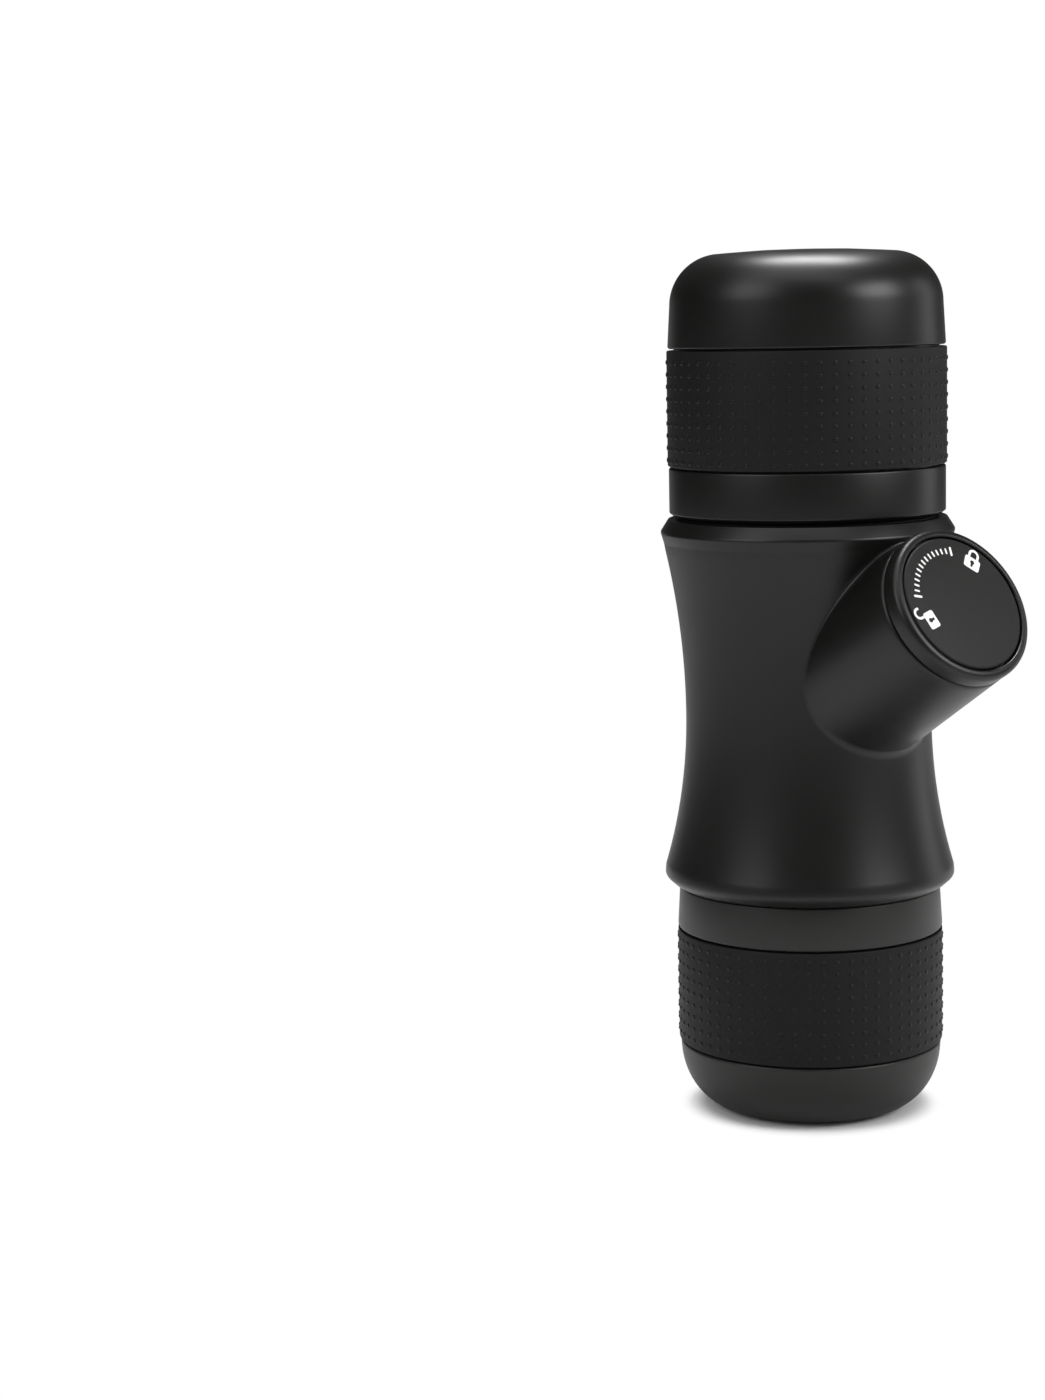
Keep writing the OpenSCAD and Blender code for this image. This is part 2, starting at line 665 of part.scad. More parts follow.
// Threaded neck under the lower ledge, with the plate that carries the shower plate
module brew_neck() {
    roof_z0 = brew_roof_z - brew_roof_t;
    color(inner_grey) difference() {
        union() {
            lathe([[0, roof_z0], [brew_bore_r, roof_z0], [brew_bore_r, brew_end_z], [brew_neck_r, brew_end_z],
                [brew_neck_r, brew_flange_z], [brew_flange_r, brew_flange_z], [brew_flange_r, low_ledge_z],
                [brew_bore_r, low_ledge_z], [brew_bore_r, brew_roof_z], [0, brew_roof_z]]);
            thread_lugs(brew_neck_r, brew_end_z + 1.2, head_thread_turns, 1);
            for (side = [-1, 1]) translate([core_post_x, side * core_post_y, 0])
                rod(core_post_r, brew_roof_z - cut, block_z0);
            rod(shower_boss_r, shower_z + shower_t, roof_z0 + cut);
        }
        translate([-outlet_x, 0, 0]) {
            rod(duct_r + seat_gap, brew_roof_z - 1.5, low_ledge_z);
            rod(duct_bore_r, roof_z0 - cut, brew_roof_z);
        }
        rod(shower_screw_r, shower_z, brew_roof_z - 0.6);
        around(3, low_screw_circle, first_screw) {
            rod(neck_screw_r, brew_flange_z - cut, low_ledge_z + cut);
            rod(neck_head_r + seat_gap, brew_flange_z - cut, brew_flange_z + neck_head_t);
        }
        for (side = [-1, 1]) translate([core_post_x, side * core_post_y, 0]) {
            rod(core_screw_r, roof_z0 - cut, block_z0 + cut);
            rod(2 * core_screw_r + seat_gap, roof_z0 - cut, roof_z0 + 1.2);
        }
    }
}

// Perforated plate that spreads the water over the coffee
module shower_plate() {
    color(steel) difference() {
        rod(basket_r - basket_t - 0.4, shower_z, shower_z + shower_t);
        rod(shower_screw_r, shower_z - cut, shower_z + shower_t + cut);
        for (k = [1:3]) around(6 * k + 2, 2 + 4.4 * k) rod(shower_hole_r, shower_z - cut, shower_z + shower_t + cut);
    }
}

// Screw that holds the shower plate
module shower_screw() {
    color(steel) {
        rod(shower_head_r, shower_z - 0.8, shower_z);
        rod(shower_screw_r, shower_z - 0.8, brew_roof_z - 0.8);
    }
}

// Three screws that hold the tank neck, from inside the body
module upper_neck_screws() {
    color(steel) around(3, top_screw_circle, first_screw) {
        rod(neck_screw_r, top_ledge_z - ledge_t - neck_head_t, top_ledge_z + neck_screw_bite);
        rod(neck_head_r, top_ledge_z - ledge_t - neck_head_t, top_ledge_z - ledge_t);
    }
}

// Three screws that hold the brew neck, from below
module lower_neck_screws() {
    color(steel) around(3, low_screw_circle, first_screw) {
        rod(neck_screw_r, brew_flange_z + 0.2, low_ledge_z + ledge_t);
        rod(neck_head_r, brew_flange_z + 0.2, brew_flange_z + neck_head_t);
    }
}

// Two long screws that hold the valve block on the brew neck
module core_screws() {
    roof_z0 = brew_roof_z - brew_roof_t;
    color(steel) for (side = [-1, 1]) translate([core_post_x, side * core_post_y, 0]) {
        rod(core_screw_r, roof_z0 + 0.1, block_z0 + core_screw_bite);
        rod(2 * core_screw_r, roof_z0 + 0.1, roof_z0 + 1.2);
    }
}

// ---------------------------------------------------------------- piston

// Plunger head on its rod, which runs up through the shaft to the cap
module plunger_rod() {
    head_r = pump_bore_r - 0.1;
    groove_r = plunger_ring_mean - plunger_ring_r;
    middle = plunger_s + plunger_len / 2;
    color(steel) on_arm() difference() {
        lathe([[0, plunger_s], [head_r, plunger_s], [head_r, middle - plunger_ring_r],
            [groove_r, middle - plunger_ring_r], [groove_r, middle + plunger_ring_r],
            [head_r, middle + plunger_ring_r], [head_r, plunger_top_s], [rod_r, plunger_top_s],
            [rod_r, cap_floor_s], [0, cap_floor_s]]);
        rod(0.4 * rod_r, cap_floor_s - rod_screw_len - 0.2, cap_floor_s + cut);
    }
}

plunger_ring_mean = pump_bore_r - run_gap - plunger_ring_r;

// Sealing ring of the plunger
module plunger_seal() {
    color(rubber_black) on_arm() translate([0, 0, plunger_s + plunger_len / 2])
        rotate_extrude($fn = round_fn) translate([plunger_ring_mean, 0]) circle(r = plunger_ring_r, $fn = 24);
}

// Screw and washer on the end of the rod, under the insert disc
module rod_screw() {
    color(steel) on_arm() {
        rod(cap_boss_r, cap_floor_s + 0.05, cap_floor_s + 0.4);
        rod(0.75 * cap_boss_r, cap_floor_s + 0.05, cap_floor_s + 1.1);
        rod(0.4 * rod_r, cap_floor_s - rod_screw_len, cap_floor_s + 0.4);
    }
}

// Spring around the pump cylinder that pushes the piston out
module return_spring() {
    color(steel) on_arm() coil(spring_r, spring_wire_r, spring_turns, housing_s + 0.05, foot_s - 0.05);
}

// Ribbed shaft with the guiding collar at its foot
module piston_shaft() {
    pocket_s = cylinder_end_s + 0.5;
    color(shell_black) on_arm() difference() {
        union() {
            lathe([[pump_r + 0.3, foot_s], [foot_r, foot_s], [foot_r, foot_top_s], [shaft_core_r, foot_top_s],
                [shaft_core_r, shaft_end_s], [0, shaft_end_s], [0, pocket_s], [pump_r + 0.3, pocket_s]]);
            intersection() {
                rod(shaft_r, foot_top_s - 0.5, shaft_end_s);
                around(rib_count, 0) translate([0, -rib_w / 2, foot_top_s - 0.5])
                    cube([shaft_r, rib_w, shaft_end_s - foot_top_s + 0.5]);
            }
        }
        rod(rod_r + run_gap, pocket_s - cut, shaft_end_s + cut);
        rod(cap_boss_r + seat_gap, shaft_end_s - 4.5, shaft_end_s + cut);
    }
}

// Round cap that closes the arm and is pressed to pump
module piston_cap() {
    round_c = [cap_r - cap_round, cap_front_s - cap_round];
    color(shell_black) on_arm() lathe(concat(
        [[rod_r + run_gap, shaft_end_s - 4.4], [cap_boss_r, shaft_end_s - 4.4], [cap_boss_r, shaft_end_s],
            [cap_r - 0.2, shaft_end_s], [cap_r, shaft_end_s + 0.2]],
        arc(round_c, cap_round, 0, 90, 6),
        [[insert_r + seat_gap + 0.3, cap_front_s], [insert_r + seat_gap, cap_front_s - 0.3],
            [insert_r + seat_gap, cap_floor_s], [rod_r + run_gap, cap_floor_s]]));
}

// Disc let into the cap, over the rod's screw
module cap_insert() {
    color(shell_black) on_arm() lathe([[0, cap_floor_s + 1.2], [screw_pocket_r, cap_floor_s + 1.2],
        [screw_pocket_r, insert_s], [insert_r, insert_s], [insert_r, insert_front_s - 0.25],
        [insert_r - 0.25, insert_front_s], [0, insert_front_s]]);
}

// ---------------------------------------------------------------- tank

// Flat ring between the tank's mouth and its neck
module tank_gasket() {
    color(rubber_black) ring(tank_gasket_r - tank_gasket_w, tank_gasket_r,
        tank_flange_z1, tank_flange_z1 + tank_gasket_h);
}

tank_grip_z0 = tank_z0 + tank_band_h;
tank_grip_z1 = tank_z1 - tank_cap_h;

// Water tank, open at the bottom
module water_tank() {
    side_r = tank_band_r - tank_taper;
    corner = [side_r - tank_corner_r, tank_z1 - tank_crown - tank_corner_r];
    inner_corner_r = tank_corner_r - tank_wall;
    mouth_z = tank_z0 + tank_mouth_h;
    color(shell_black) union() {
        lathe(concat(
            [[tank_bore_r + 0.4, tank_z0], [tank_band_r - 0.3, tank_z0], [tank_band_r, tank_z0 + 0.4],
                [tank_band_r, tank_grip_z0 - grip_bevel], [tank_band_r - grip_bevel, tank_grip_z0],
                [tank_core_r, tank_grip_z0], [tank_core_r, tank_grip_z1],
                [tank_band_r - grip_bevel, tank_grip_z1], [tank_band_r, tank_grip_z1 + grip_bevel]],
            arc(corner, tank_corner_r, 0, 90),
            [[0.5 * corner[0], tank_z1 - 0.25 * tank_crown], [0, tank_z1], [0, tank_z1 - tank_wall],
                [corner[0], tank_z1 - tank_wall - tank_crown]],
            arc([corner[0], corner[1]], inner_corner_r, 90, 0, 6),
            [[tank_bore_r + 0.5, corner[1] - 3], [tank_bore_r + 0.5, mouth_z + 0.8], [tank_bore_r, mouth_z],
                [tank_bore_r, tank_z0 + 0.4]]));
        thread_lugs(tank_bore_r, tank_z0 + 3.45 - thread_pitch / 2, tank_thread_turns, -1);
    }
}

// Rubber grip around the tank
module tank_grip() {
    z0 = tank_grip_z0 + grip_groove;
    z1 = tank_grip_z1 - grip_groove;
    color(grip_black) lathe([[tank_core_r + seat_gap, z0], [tank_r - grip_bevel, z0],
        [tank_r, z0 + grip_bevel], [tank_r, z1 - grip_bevel], [tank_r - grip_bevel, z1],
        [tank_core_r + seat_gap, z1]]);
}

// ---------------------------------------------------------------- outlet head

// Sealing ring between the brew neck and the basket's rim
module brew_gasket() {
    color(rubber_black) ring(basket_r + 0.1, rim_r, rim_z, brew_end_z);
}

// Perforated basket for the ground coffee, hung by its rim
module filter_basket() {
    z0 = rim_z - basket_h;
    color(steel) difference() {
        lathe([[0, z0], [basket_r - 1, z0], [basket_r, z0 + 1], [basket_r, shoulder_z], [rim_r, shoulder_z],
            [rim_r, rim_z], [basket_r - basket_t, rim_z], [basket_r - basket_t, z0 + basket_t + 0.6],
            [basket_r - basket_t - 0.6, z0 + basket_t], [0, z0 + basket_t]]);
        hole_rings(basket_hole_r, 4, 4, 4, z0 - cut, z0 + basket_t + cut);
    }
}

// Domed head that screws onto the brew neck and lets the coffee out
module outlet_head() {
    dome_end = acos(outlet_face_r / head_r);
    stretch = head_dome_len / sin(dome_end);
    inner_r = head_r - head_dome_wall;
    ridge_z = shell_z0 - 1.6;
    open_r = basket_r + basket_gap;
    color(shell_black) difference() {
        union() {
            lathe(concat([[0, head_z0]], bowl([0, dome_z], head_r, stretch, dome_end, 0),
                [[head_r, head_z1 - 0.4], [head_r - 0.4, head_z1], [0, head_z1]]));
            for (k = [0, 1]) lathe([[head_r - 0.3, ridge_z - k * ridge_pitch - 0.9],
                [head_r, ridge_z - k * ridge_pitch - 0.6], [ridge_r, ridge_z - k * ridge_pitch - 0.15],
                [ridge_r, ridge_z - k * ridge_pitch + 0.15], [head_r, ridge_z - k * ridge_pitch + 0.6],
                [head_r - 0.3, ridge_z - k * ridge_pitch + 0.9]]);
            ring(outlet_r, spout_r, head_z0 - spout_h, head_z0 + 0.5);
        }
        lathe(concat(
            [[0, head_z1 + cut], [head_bore_r, head_z1 + cut], [head_bore_r, shoulder_z],
                [open_r, shoulder_z], [open_r, shoulder_z - shoulder_t], [inner_r, shoulder_z - shoulder_t - 2]],
            bowl([0, dome_z + 0.5], inner_r, stretch - 3.2, 0, dome_end),
            [[0, head_z0 + 3]]));
        rod(outlet_r, head_z0 - spout_h - cut, head_z0 + 5);
        translate([0, -0.8, head_z0 - spout_h - cut]) cube([spout_r + 2, 1.6, spout_h + 1.6]);
    }
    color(shell_black) thread_lugs(head_bore_r, brew_end_z + 1.2 + thread_pitch / 2, head_thread_turns, -1);
}

// ---------------------------------------------------------------- cup

cup_grip_z1 = cup_h - cup_band_h;

// Cup that the maker stands on
module cup() {
    base_edge = 0.6;
    color(shell_black) lathe(concat(
        [[0, 0]],
        bowl([cup_base_r, cup_round_h - base_edge], cup_r - 0.5 - cup_base_r, cup_round_h - base_edge, 90, 0),
        [[cup_r - 0.5 - grip_bevel, cup_round_h], [cup_core_r, cup_round_h], [cup_core_r, cup_grip_z1],
            [cup_r - grip_bevel, cup_grip_z1], [cup_r, cup_grip_z1 + grip_bevel],
            [cup_r - cup_rim_in, cup_grip_z1 + 0.45 * cup_band_h], [cup_r - cup_rim_in, cup_h - 0.4],
            [cup_r - cup_rim_in - 0.4, cup_h], [cup_mouth_r + 0.3, cup_h], [cup_mouth_r, cup_h - 0.3],
            [cup_mouth_r, cup_h - cup_mouth_h], [cup_bore_r, cup_h - cup_mouth_h - 0.5],
            [cup_bore_r, cup_round_h + 4]],
        bowl([cup_base_r - 1, cup_round_h + 4], cup_bore_r - cup_base_r + 1, cup_round_h + 4 - cup_floor_t,
            0, 90),
        [[0, cup_floor_t]]));
}

// Rubber grip around the cup
module cup_grip() {
    z0 = cup_round_h + grip_groove;
    z1 = cup_grip_z1 - grip_groove;
    color(grip_black) lathe([[cup_core_r + seat_gap, z0], [cup_r - grip_bevel, z0], [cup_r, z0 + grip_bevel],
        [cup_r, z1 - grip_bevel], [cup_r - grip_bevel, z1], [cup_core_r + seat_gap, z1]]);
}

body_shell();
tank_neck();
intake_screen();
intake_duct();
valve_block();
intake_ball();
outlet_ball();
outlet_spring();
valve_cap();
pressure_duct();
pump_cylinder();
cylinder_seal();
pump_housing();
lock_ring();
brew_neck();
shower_plate();
shower_screw();
upper_neck_screws();
lower_neck_screws();
core_screws();
plunger_rod();
plunger_seal();
rod_screw();
return_spring();
piston_shaft();
piston_cap();
cap_insert();
tank_gasket();
water_tank();
tank_grip();
brew_gasket();
filter_basket();
outlet_head();
cup();
cup_grip();
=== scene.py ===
"""The looks of a handheld manual espresso maker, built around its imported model.

Sizes are in millimetres in the frame of the part: the origin is under the cup, +Z is up and the
pump arm leans out towards +X. They become metres when a mesh is made or a node gets them.
"""
import json
import math

import bpy
import bmesh
from mathutils import Matrix, Vector
from mathutils.geometry import delaunay_2d_cdt, tessellate_polygon


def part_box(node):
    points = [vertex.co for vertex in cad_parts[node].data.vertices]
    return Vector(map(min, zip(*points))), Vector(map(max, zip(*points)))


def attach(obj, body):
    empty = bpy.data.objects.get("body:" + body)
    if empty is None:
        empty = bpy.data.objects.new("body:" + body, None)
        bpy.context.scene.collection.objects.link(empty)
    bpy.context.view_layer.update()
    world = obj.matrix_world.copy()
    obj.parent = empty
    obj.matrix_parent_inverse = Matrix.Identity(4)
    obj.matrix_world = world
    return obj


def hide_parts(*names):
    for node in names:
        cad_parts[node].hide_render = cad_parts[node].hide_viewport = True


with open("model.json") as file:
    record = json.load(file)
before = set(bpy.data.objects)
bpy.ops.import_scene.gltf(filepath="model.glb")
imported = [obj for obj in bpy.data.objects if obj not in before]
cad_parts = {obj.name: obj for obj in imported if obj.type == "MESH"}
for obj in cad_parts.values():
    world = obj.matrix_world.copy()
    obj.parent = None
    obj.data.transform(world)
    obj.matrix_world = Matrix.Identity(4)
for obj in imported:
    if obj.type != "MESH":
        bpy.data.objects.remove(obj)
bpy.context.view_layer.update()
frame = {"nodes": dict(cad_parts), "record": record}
MM = 0.001
FULL_TURN = 2 * math.pi


def heights(node):
    """Lowest and highest height of a node, in millimetres."""
    low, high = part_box(node)
    return low.z / MM, high.z / MM


def radius(node):
    """Largest radius of a node around the Z axis, in millimetres."""
    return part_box(node)[1].y / MM


# ------------------------------------------------------------------ sizes, in millimetres

# Shell: the side is two arcs that meet at the waist, with a rounded underside and a lip on top
SHELL_Z0, SHELL_Z1 = heights("body_shell")
WAIST_Z = 82.6
WAIST_R = 25.35
SHELL_WALL = 2.2
UNDER_R = 27.35
LOW_EDGE_Z = SHELL_Z0 + 3.4
LOW_EDGE_R = 30.15
SIDE_LOW_R = 30.1
SIDE_TOP_R = 29.3
SIDE_MARGIN = 0.6
LIP_Z = SHELL_Z1 - 6.1
LIP_R = 30.2
RIM_R = 28.55
SIDE_ROWS = 85
SHELL_COLUMNS = 240

# Sockets of the two necks, as radius and height of their ledge
LOW_SOCKET = (25.15, 52.4)
TOP_SOCKET = (26.55, SHELL_Z1 - 7.15)
LEDGE_T = 2.5
LEDGE_OPEN_R = 20.8

# Pump arm: distances s run along its axis from the shell's axis, and its tilt is from upright
ARM_Z = 83.0
ARM_TILT = math.radians(60)
ARM_LEN = 48.35
ARM_MOUTH_R = 16.3
ARM_DRAFT = math.tan(math.radians(2.6))
ARM_BORE_R = 14.2
MOUTH_CHAMFER = 0.25
MOUTH_ROUND = 0.6
MOUTH_STEPS = 4
ROOT_ROUND_HIGH = 0.6
ROOT_ROUND_LOW = 2.4
ROOT_CLEARANCE = 0.45
ARM_ROWS = 26
ARM_COLUMNS = 200

# Tank: the crown goes in from the dome's corner, as share of its radius and drop from the top
TANK_Z0, TANK_Z1 = heights("water_tank")
TANK_BAND_R = 28.28
TANK_CORE_R = 27.0
TANK_FOOT_R = 27.1
TANK_INNER_R = 25.1
TANK_THREAD_R = 24.6
TANK_LUG_R = 24.3
TANK_LUG = (1.3, 10, 1.4)
DOME_ROUND = 10.4
DOME_INNER_ROUND = 8
DOME_CORNER = (17.38, TANK_Z1 - 11)
DOME_END = 82
CROWN = ((0.93, 0.52), (0.55, 0.14), (0.25, 0.02), (0, 0))
THREAD_PITCH = 4
LUGS_PER_TURN = 10

# Cup
CUP_H = heights("cup")[1]
CUP_R = 27.55
CUP_CORE_R = 26.35
CUP_MOUTH_R = 25.45
CUP_INNER_R = 25.05
CUP_FOOT_R = 16.4
CUP_CURVE_H = 13.5
CUP_FLOOR_T = 2.4
CUP_INNER_FOOT_R = 15.4
CUP_INNER_CURVE_H = 15.7

# Grips: node, body, thickness, and how far the nubs sit below the middle
GRIPS = [("tank_grip", "tank", 1.45, 0.55), ("cup_grip", "cup", 1.15, 0)]
GRIP_GAP = 0.35
GRIP_BEVEL = 0.3
BAND_BEVEL = 0.45
NUB_R = 0.5
NUB_H = 0.26
NUB_SUNK = 0.03
NUB_PITCH = 2.49
NUB_COLUMNS = 60
NUB_ROWS = 9
NUB_MARK = "nub"

# Cap and insert, with their places along the arm
CAP_S0 = 48.6
CAP_FRONT = 52.4
CAP_SEAT = 50.45
CAP_R = 16.25
CAP_BOSS_S = 44.2
CAP_BOSS_R = 4.3
CAP_HOLE_R = 3.05
INSERT_R = 14.05
INSERT_GAP = 0.35
INSERT_BACK = 50.5
INSERT_FRONT = 52.3
SCREW_HEAD_R = 4.8
SCREW_HEAD_S = 51.65

# Print: angles in degrees from +Y towards the arm's upper side, ticks as length and width, and
# the keyhole's places as shares of the lock's height
PRINT_R = 11.1
LOCKS_R = PRINT_R + 0.35
PRINT_SUNK = 0.03
PRINT_PROUD = 0.04
TICKS = 15
TICK = (1.25, 0.4)
END_TICK = (2.0, 0.5)
TICK_ARC = (80, 168)
LOCKED_AT = 52
OPEN_AT = 196
LOCK_W = 3.6
LOCK_H = 2.7
LOCK_ROUND = 0.45
LOCK_BOW = 1.25
LOCK_BOW_T = 0.52
LOCK_LEG = 0.75
LOCK_SHOULDER = 0.35
LOCK_SWUNG_LEG = 0.5
KEYHOLE_R = 0.5
KEYHOLE_FOOT = 0.28
KEYHOLE_AT = (0.4, 0.8)

# Pieces that keep their CAD form with broken edges, with their bodies and material slots; the
# last three sizes are angles in degrees
REFINED = [
    ("outlet_head", "head", "shell_plastic"), ("piston_shaft", "piston", "shaft_plastic"),
    ("lock_ring", "main_body", "inner_plastic"), ("tank_neck", "main_body", "inner_plastic"),
    ("brew_neck", "main_body", "inner_plastic"), ("filter_basket", "basket", "steel"),
    ("pump_housing", "main_body", "inner_plastic"), ("tank_gasket", "tank_seal", "seal_rubber"),
    ("brew_gasket", "main_body", "seal_rubber"), ("shower_plate", "main_body", "steel"),
]
EDGE_BREAK = 0.12
BROKEN_FROM = 40
SMOOTH_UP_TO = 30
FLAT_WITHIN = 0.3


# ------------------------------------------------------------------ mesh helpers

def neighbours(count):
    """Each place on a closed ring, with the next one."""
    return [(k, (k + 1) % count) for k in range(count)]


def band_faces(low, high):
    """Quads between two rings of points."""
    return [[low[k], low[n], high[n], high[k]] for k, n in neighbours(len(low))]


def end_faces(ring, hub):
    """Triangles between a ring of points and the point in its middle."""
    return [[ring[k], ring[n], hub] for k, n in neighbours(len(ring))]


def mesh_piece(name, points, faces):
    """A piece from points in millimetres, with its doubles merged and its faces outwards."""
    mesh = bpy.data.meshes.new(name)
    mesh.from_pydata([(x * MM, y * MM, z * MM) for x, y, z in points], [], faces)
    work = bmesh.new()
    work.from_mesh(mesh)
    bmesh.ops.remove_doubles(work, verts=work.verts, dist=1e-7)
    bmesh.ops.recalc_face_normals(work, faces=work.faces)
    work.to_mesh(mesh)
    work.free()
    piece = bpy.data.objects.new(name, mesh)
    bpy.context.scene.collection.objects.link(piece)
    return piece


def smooth(piece, degrees=32):
    """Smooth shading, with edges sharper than that angle kept crisp."""
    piece.data.shade_smooth()
    piece.data.set_sharp_from_angle(angle=math.radians(degrees))
    return piece


def rounded(corners, steps=4):
    """Outline points from corners (radius, height, rounding), each rounding an arc."""
    points = []
    for i, (r, z, rounding) in enumerate(corners):
        here = Vector((r, z))
        if not rounding:
            points.append((r, z))
            continue
        before = (Vector(corners[i - 1][:2]) - here).normalized()
        after = (Vector(corners[(i + 1) % len(corners)][:2]) - here).normalized()
        half = before.angle(after) / 2
        centre = here + (before + after).normalized() * rounding / math.sin(half)
        start = here + before * rounding / math.tan(half) - centre
        end = here + after * rounding / math.tan(half) - centre
        first = math.atan2(start.y, start.x)
        turn = (math.atan2(end.y, end.x) - first + math.pi) % FULL_TURN - math.pi
        for k in range(steps + 1):
            a = first + turn * k / steps
            points.append((centre.x + rounding * math.cos(a), centre.y + rounding * math.sin(a)))
    return points


def bend(centre, rx, ry, first, last, steps=10):
    """Points of an elliptic arc, between two angles in degrees from the first axis."""
    turns = [math.radians(first + (last - first) * k / steps) for k in range(steps + 1)]
    return [(centre[0] + rx * math.cos(a), centre[1] + ry * math.sin(a)) for a in turns]


def bend_corners(*args):
    """An elliptic arc as corners without rounding."""
    return [(r, z, 0) for r, z in bend(*args)]


def upright(r, a, z):
    """Point at radius r and angle a around the Z axis, at height z."""
    return r * math.cos(a), r * math.sin(a), z


ARM_AXIS = Vector((math.sin(ARM_TILT), 0, math.cos(ARM_TILT)))
ARM_UP = Vector((-math.cos(ARM_TILT), 0, math.sin(ARM_TILT)))
ARM_SIDE = Vector((0, 1, 0))


def on_arm(r, a, s):
    """Point at radius r and angle a around the arm's axis, s along it."""
    across = ARM_UP * math.cos(a) + ARM_SIDE * math.sin(a)
    return Vector((0, 0, ARM_Z)) + ARM_AXIS * s + across * r


def lathe(name, outline, columns=224, place=upright):
    """Closed solid of revolution from a closed outline of (radius, height) points."""
    points = []
    rings = []
    for r, z in outline:
        if r < 1e-6:
            rings.append([len(points)] * columns)
            points.append(place(0, 0, z))
        else:
            rings.append(list(range(len(points), len(points) + columns)))
            points += [place(r, FULL_TURN * k / columns, z) for k in range(columns)]
    faces = []
    for i, ring in enumerate(rings):
        for quad in band_faces(ring, rings[(i + 1) % len(rings)]):
            face = list(dict.fromkeys(quad))
            if len(face) > 2:
                faces.append(face)
    return mesh_piece(name, points, faces)


def bake_modifiers(piece):
    """Turns the piece with its modifiers into a plain mesh."""
    bpy.context.view_layer.update()
    seen = piece.evaluated_get(bpy.context.evaluated_depsgraph_get())
    made = bpy.data.meshes.new_from_object(seen)
    old = piece.data
    piece.modifiers.clear()
    piece.data = made
    made.name = piece.name
    bpy.data.meshes.remove(old)


def cut_away(piece, cutters):
    """Takes the cutters' volume out of the piece and deletes them."""
    for cutter in cutters:
        cut = piece.modifiers.new("cut", "BOOLEAN")
        cut.operation = "DIFFERENCE"
        cut.solver = "MANIFOLD"
        cut.object = cutter
        before = len(piece.data.vertices)
        bake_modifiers(piece)
        if len(piece.data.vertices) == before:
            raise RuntimeError("the cut by " + cutter.name + " did nothing")
        bpy.data.objects.remove(cutter)


# ------------------------------------------------------------------ node trees

class Tree:
    """A node tree, built with short calls. Values are numbers, colours or sockets."""

    def __init__(self, tree):
        self.tree = tree

    def add(self, kind, values=None, **settings):
        """A node with its settings, and its values by input name or index."""
        node = self.tree.nodes.new(kind)
        for key, value in settings.items():
            setattr(node, key, value)
        for key, value in (values or {}).items():
            if isinstance(value, bpy.types.NodeSocket):
                self.tree.links.new(value, node.inputs[key])
            else:
                node.inputs[key].default_value = value
        return node

    def feed(self, inputs, values):
        """Links sockets to inputs, by name or index."""
        for key, value in values.items():
            self.tree.links.new(value, inputs[key])

    def math(self, operation, a, b=0.0, c=0.0):
        return self.add("ShaderNodeMath", {0: a, 1: b, 2: c}, operation=operation).outputs[0]

    def mix(self, share, a, b, kind="FLOAT"):
        """A blend from a to b by the share, of numbers or of colours."""
        first, result = {"FLOAT": (2, 0), "RGBA": (6, 2)}[kind]
        node = self.add("ShaderNodeMix", {0: share, first: a, first + 1: b}, data_type=kind)
        return node.outputs[result]

    def ramp(self, value, low, high, first=0.0, last=1.0, kind="LINEAR"):
        """Goes from first to last while the value goes from low to high."""
        values = {0: value, 1: low, 2: high, 3: first, 4: last}
        return self.add("ShaderNodeMapRange", values, interpolation_type=kind).outputs[0]

    def noise(self, place, scale, detail, roughness=0.5, distortion=0.0):
        values = {"Vector": place, "Scale": scale, "Detail": detail, "Roughness": roughness,
                  "Distortion": distortion}
        return self.add("ShaderNodeTexNoise", values).outputs[0]

    def scaled(self, vector, share):
        return self.add("ShaderNodeVectorMath", {0: vector, 3: share}, operation="SCALE").outputs[0]

    def xyz(self, x=0.0, y=0.0, z=0.0):
        return self.add("ShaderNodeCombineXYZ", {0: x, 1: y, 2: z}).outputs[0]

    def on_ring(self, radius, turn, height):
        """Point at a radius, an angle and a height around the Z axis."""
        return self.xyz(self.math("MULTIPLY", radius, self.math("COSINE", turn)),
                        self.math("MULTIPLY", radius, self.math("SINE", turn)), height)

    def place(self):
        """The point on the piece, in the frame of the part."""
        return self.add("ShaderNodeTexCoord").outputs["Object"]

    def group(self, name, values):
        """The outputs of a shader node group that is placed with these values."""
        tree = bpy.data.node_groups[name]
        return self.add("ShaderNodeGroup", values, node_tree=tree).outputs


def new_group(name, kind, inputs, outputs):
    """A node group with inputs and outputs given as name and socket type."""
    tree = bpy.data.node_groups.new(name, kind)
    for in_out, sockets in (("INPUT", inputs), ("OUTPUT", outputs)):
        for label, socket in sockets.items():
            tree.interface.new_socket(label, in_out=in_out, socket_type="NodeSocket" + socket)
    t = Tree(tree)
    t.inputs = tree.nodes.new("NodeGroupInput").outputs
    t.results = tree.nodes.new("NodeGroupOutput").inputs
    return t


def add_copies(t, spots, count, shape, turn, size=(1, 1, 1)):
    """Ends a tree: joins turned copies of a shape to the piece as real faces of its material."""
    points = t.add("GeometryNodePoints", {"Count": count, "Position": spots}).outputs[0]
    copies = t.add("GeometryNodeInstanceOnPoints",
                   {"Points": points, "Instance": shape, "Rotation": turn, "Scale": size})
    joined = t.add("GeometryNodeJoinGeometry", {0: t.inputs["Geometry"]})
    t.feed(joined.inputs, {0: copies.outputs[0]})
    real = t.add("GeometryNodeRealizeInstances", {0: joined.outputs[0]})
    painted = t.add("GeometryNodeSetMaterial",
                    {"Geometry": real.outputs[0], "Material": t.inputs["Material"]})
    t.feed(t.results, {0: painted.outputs[0]})
    return t.tree


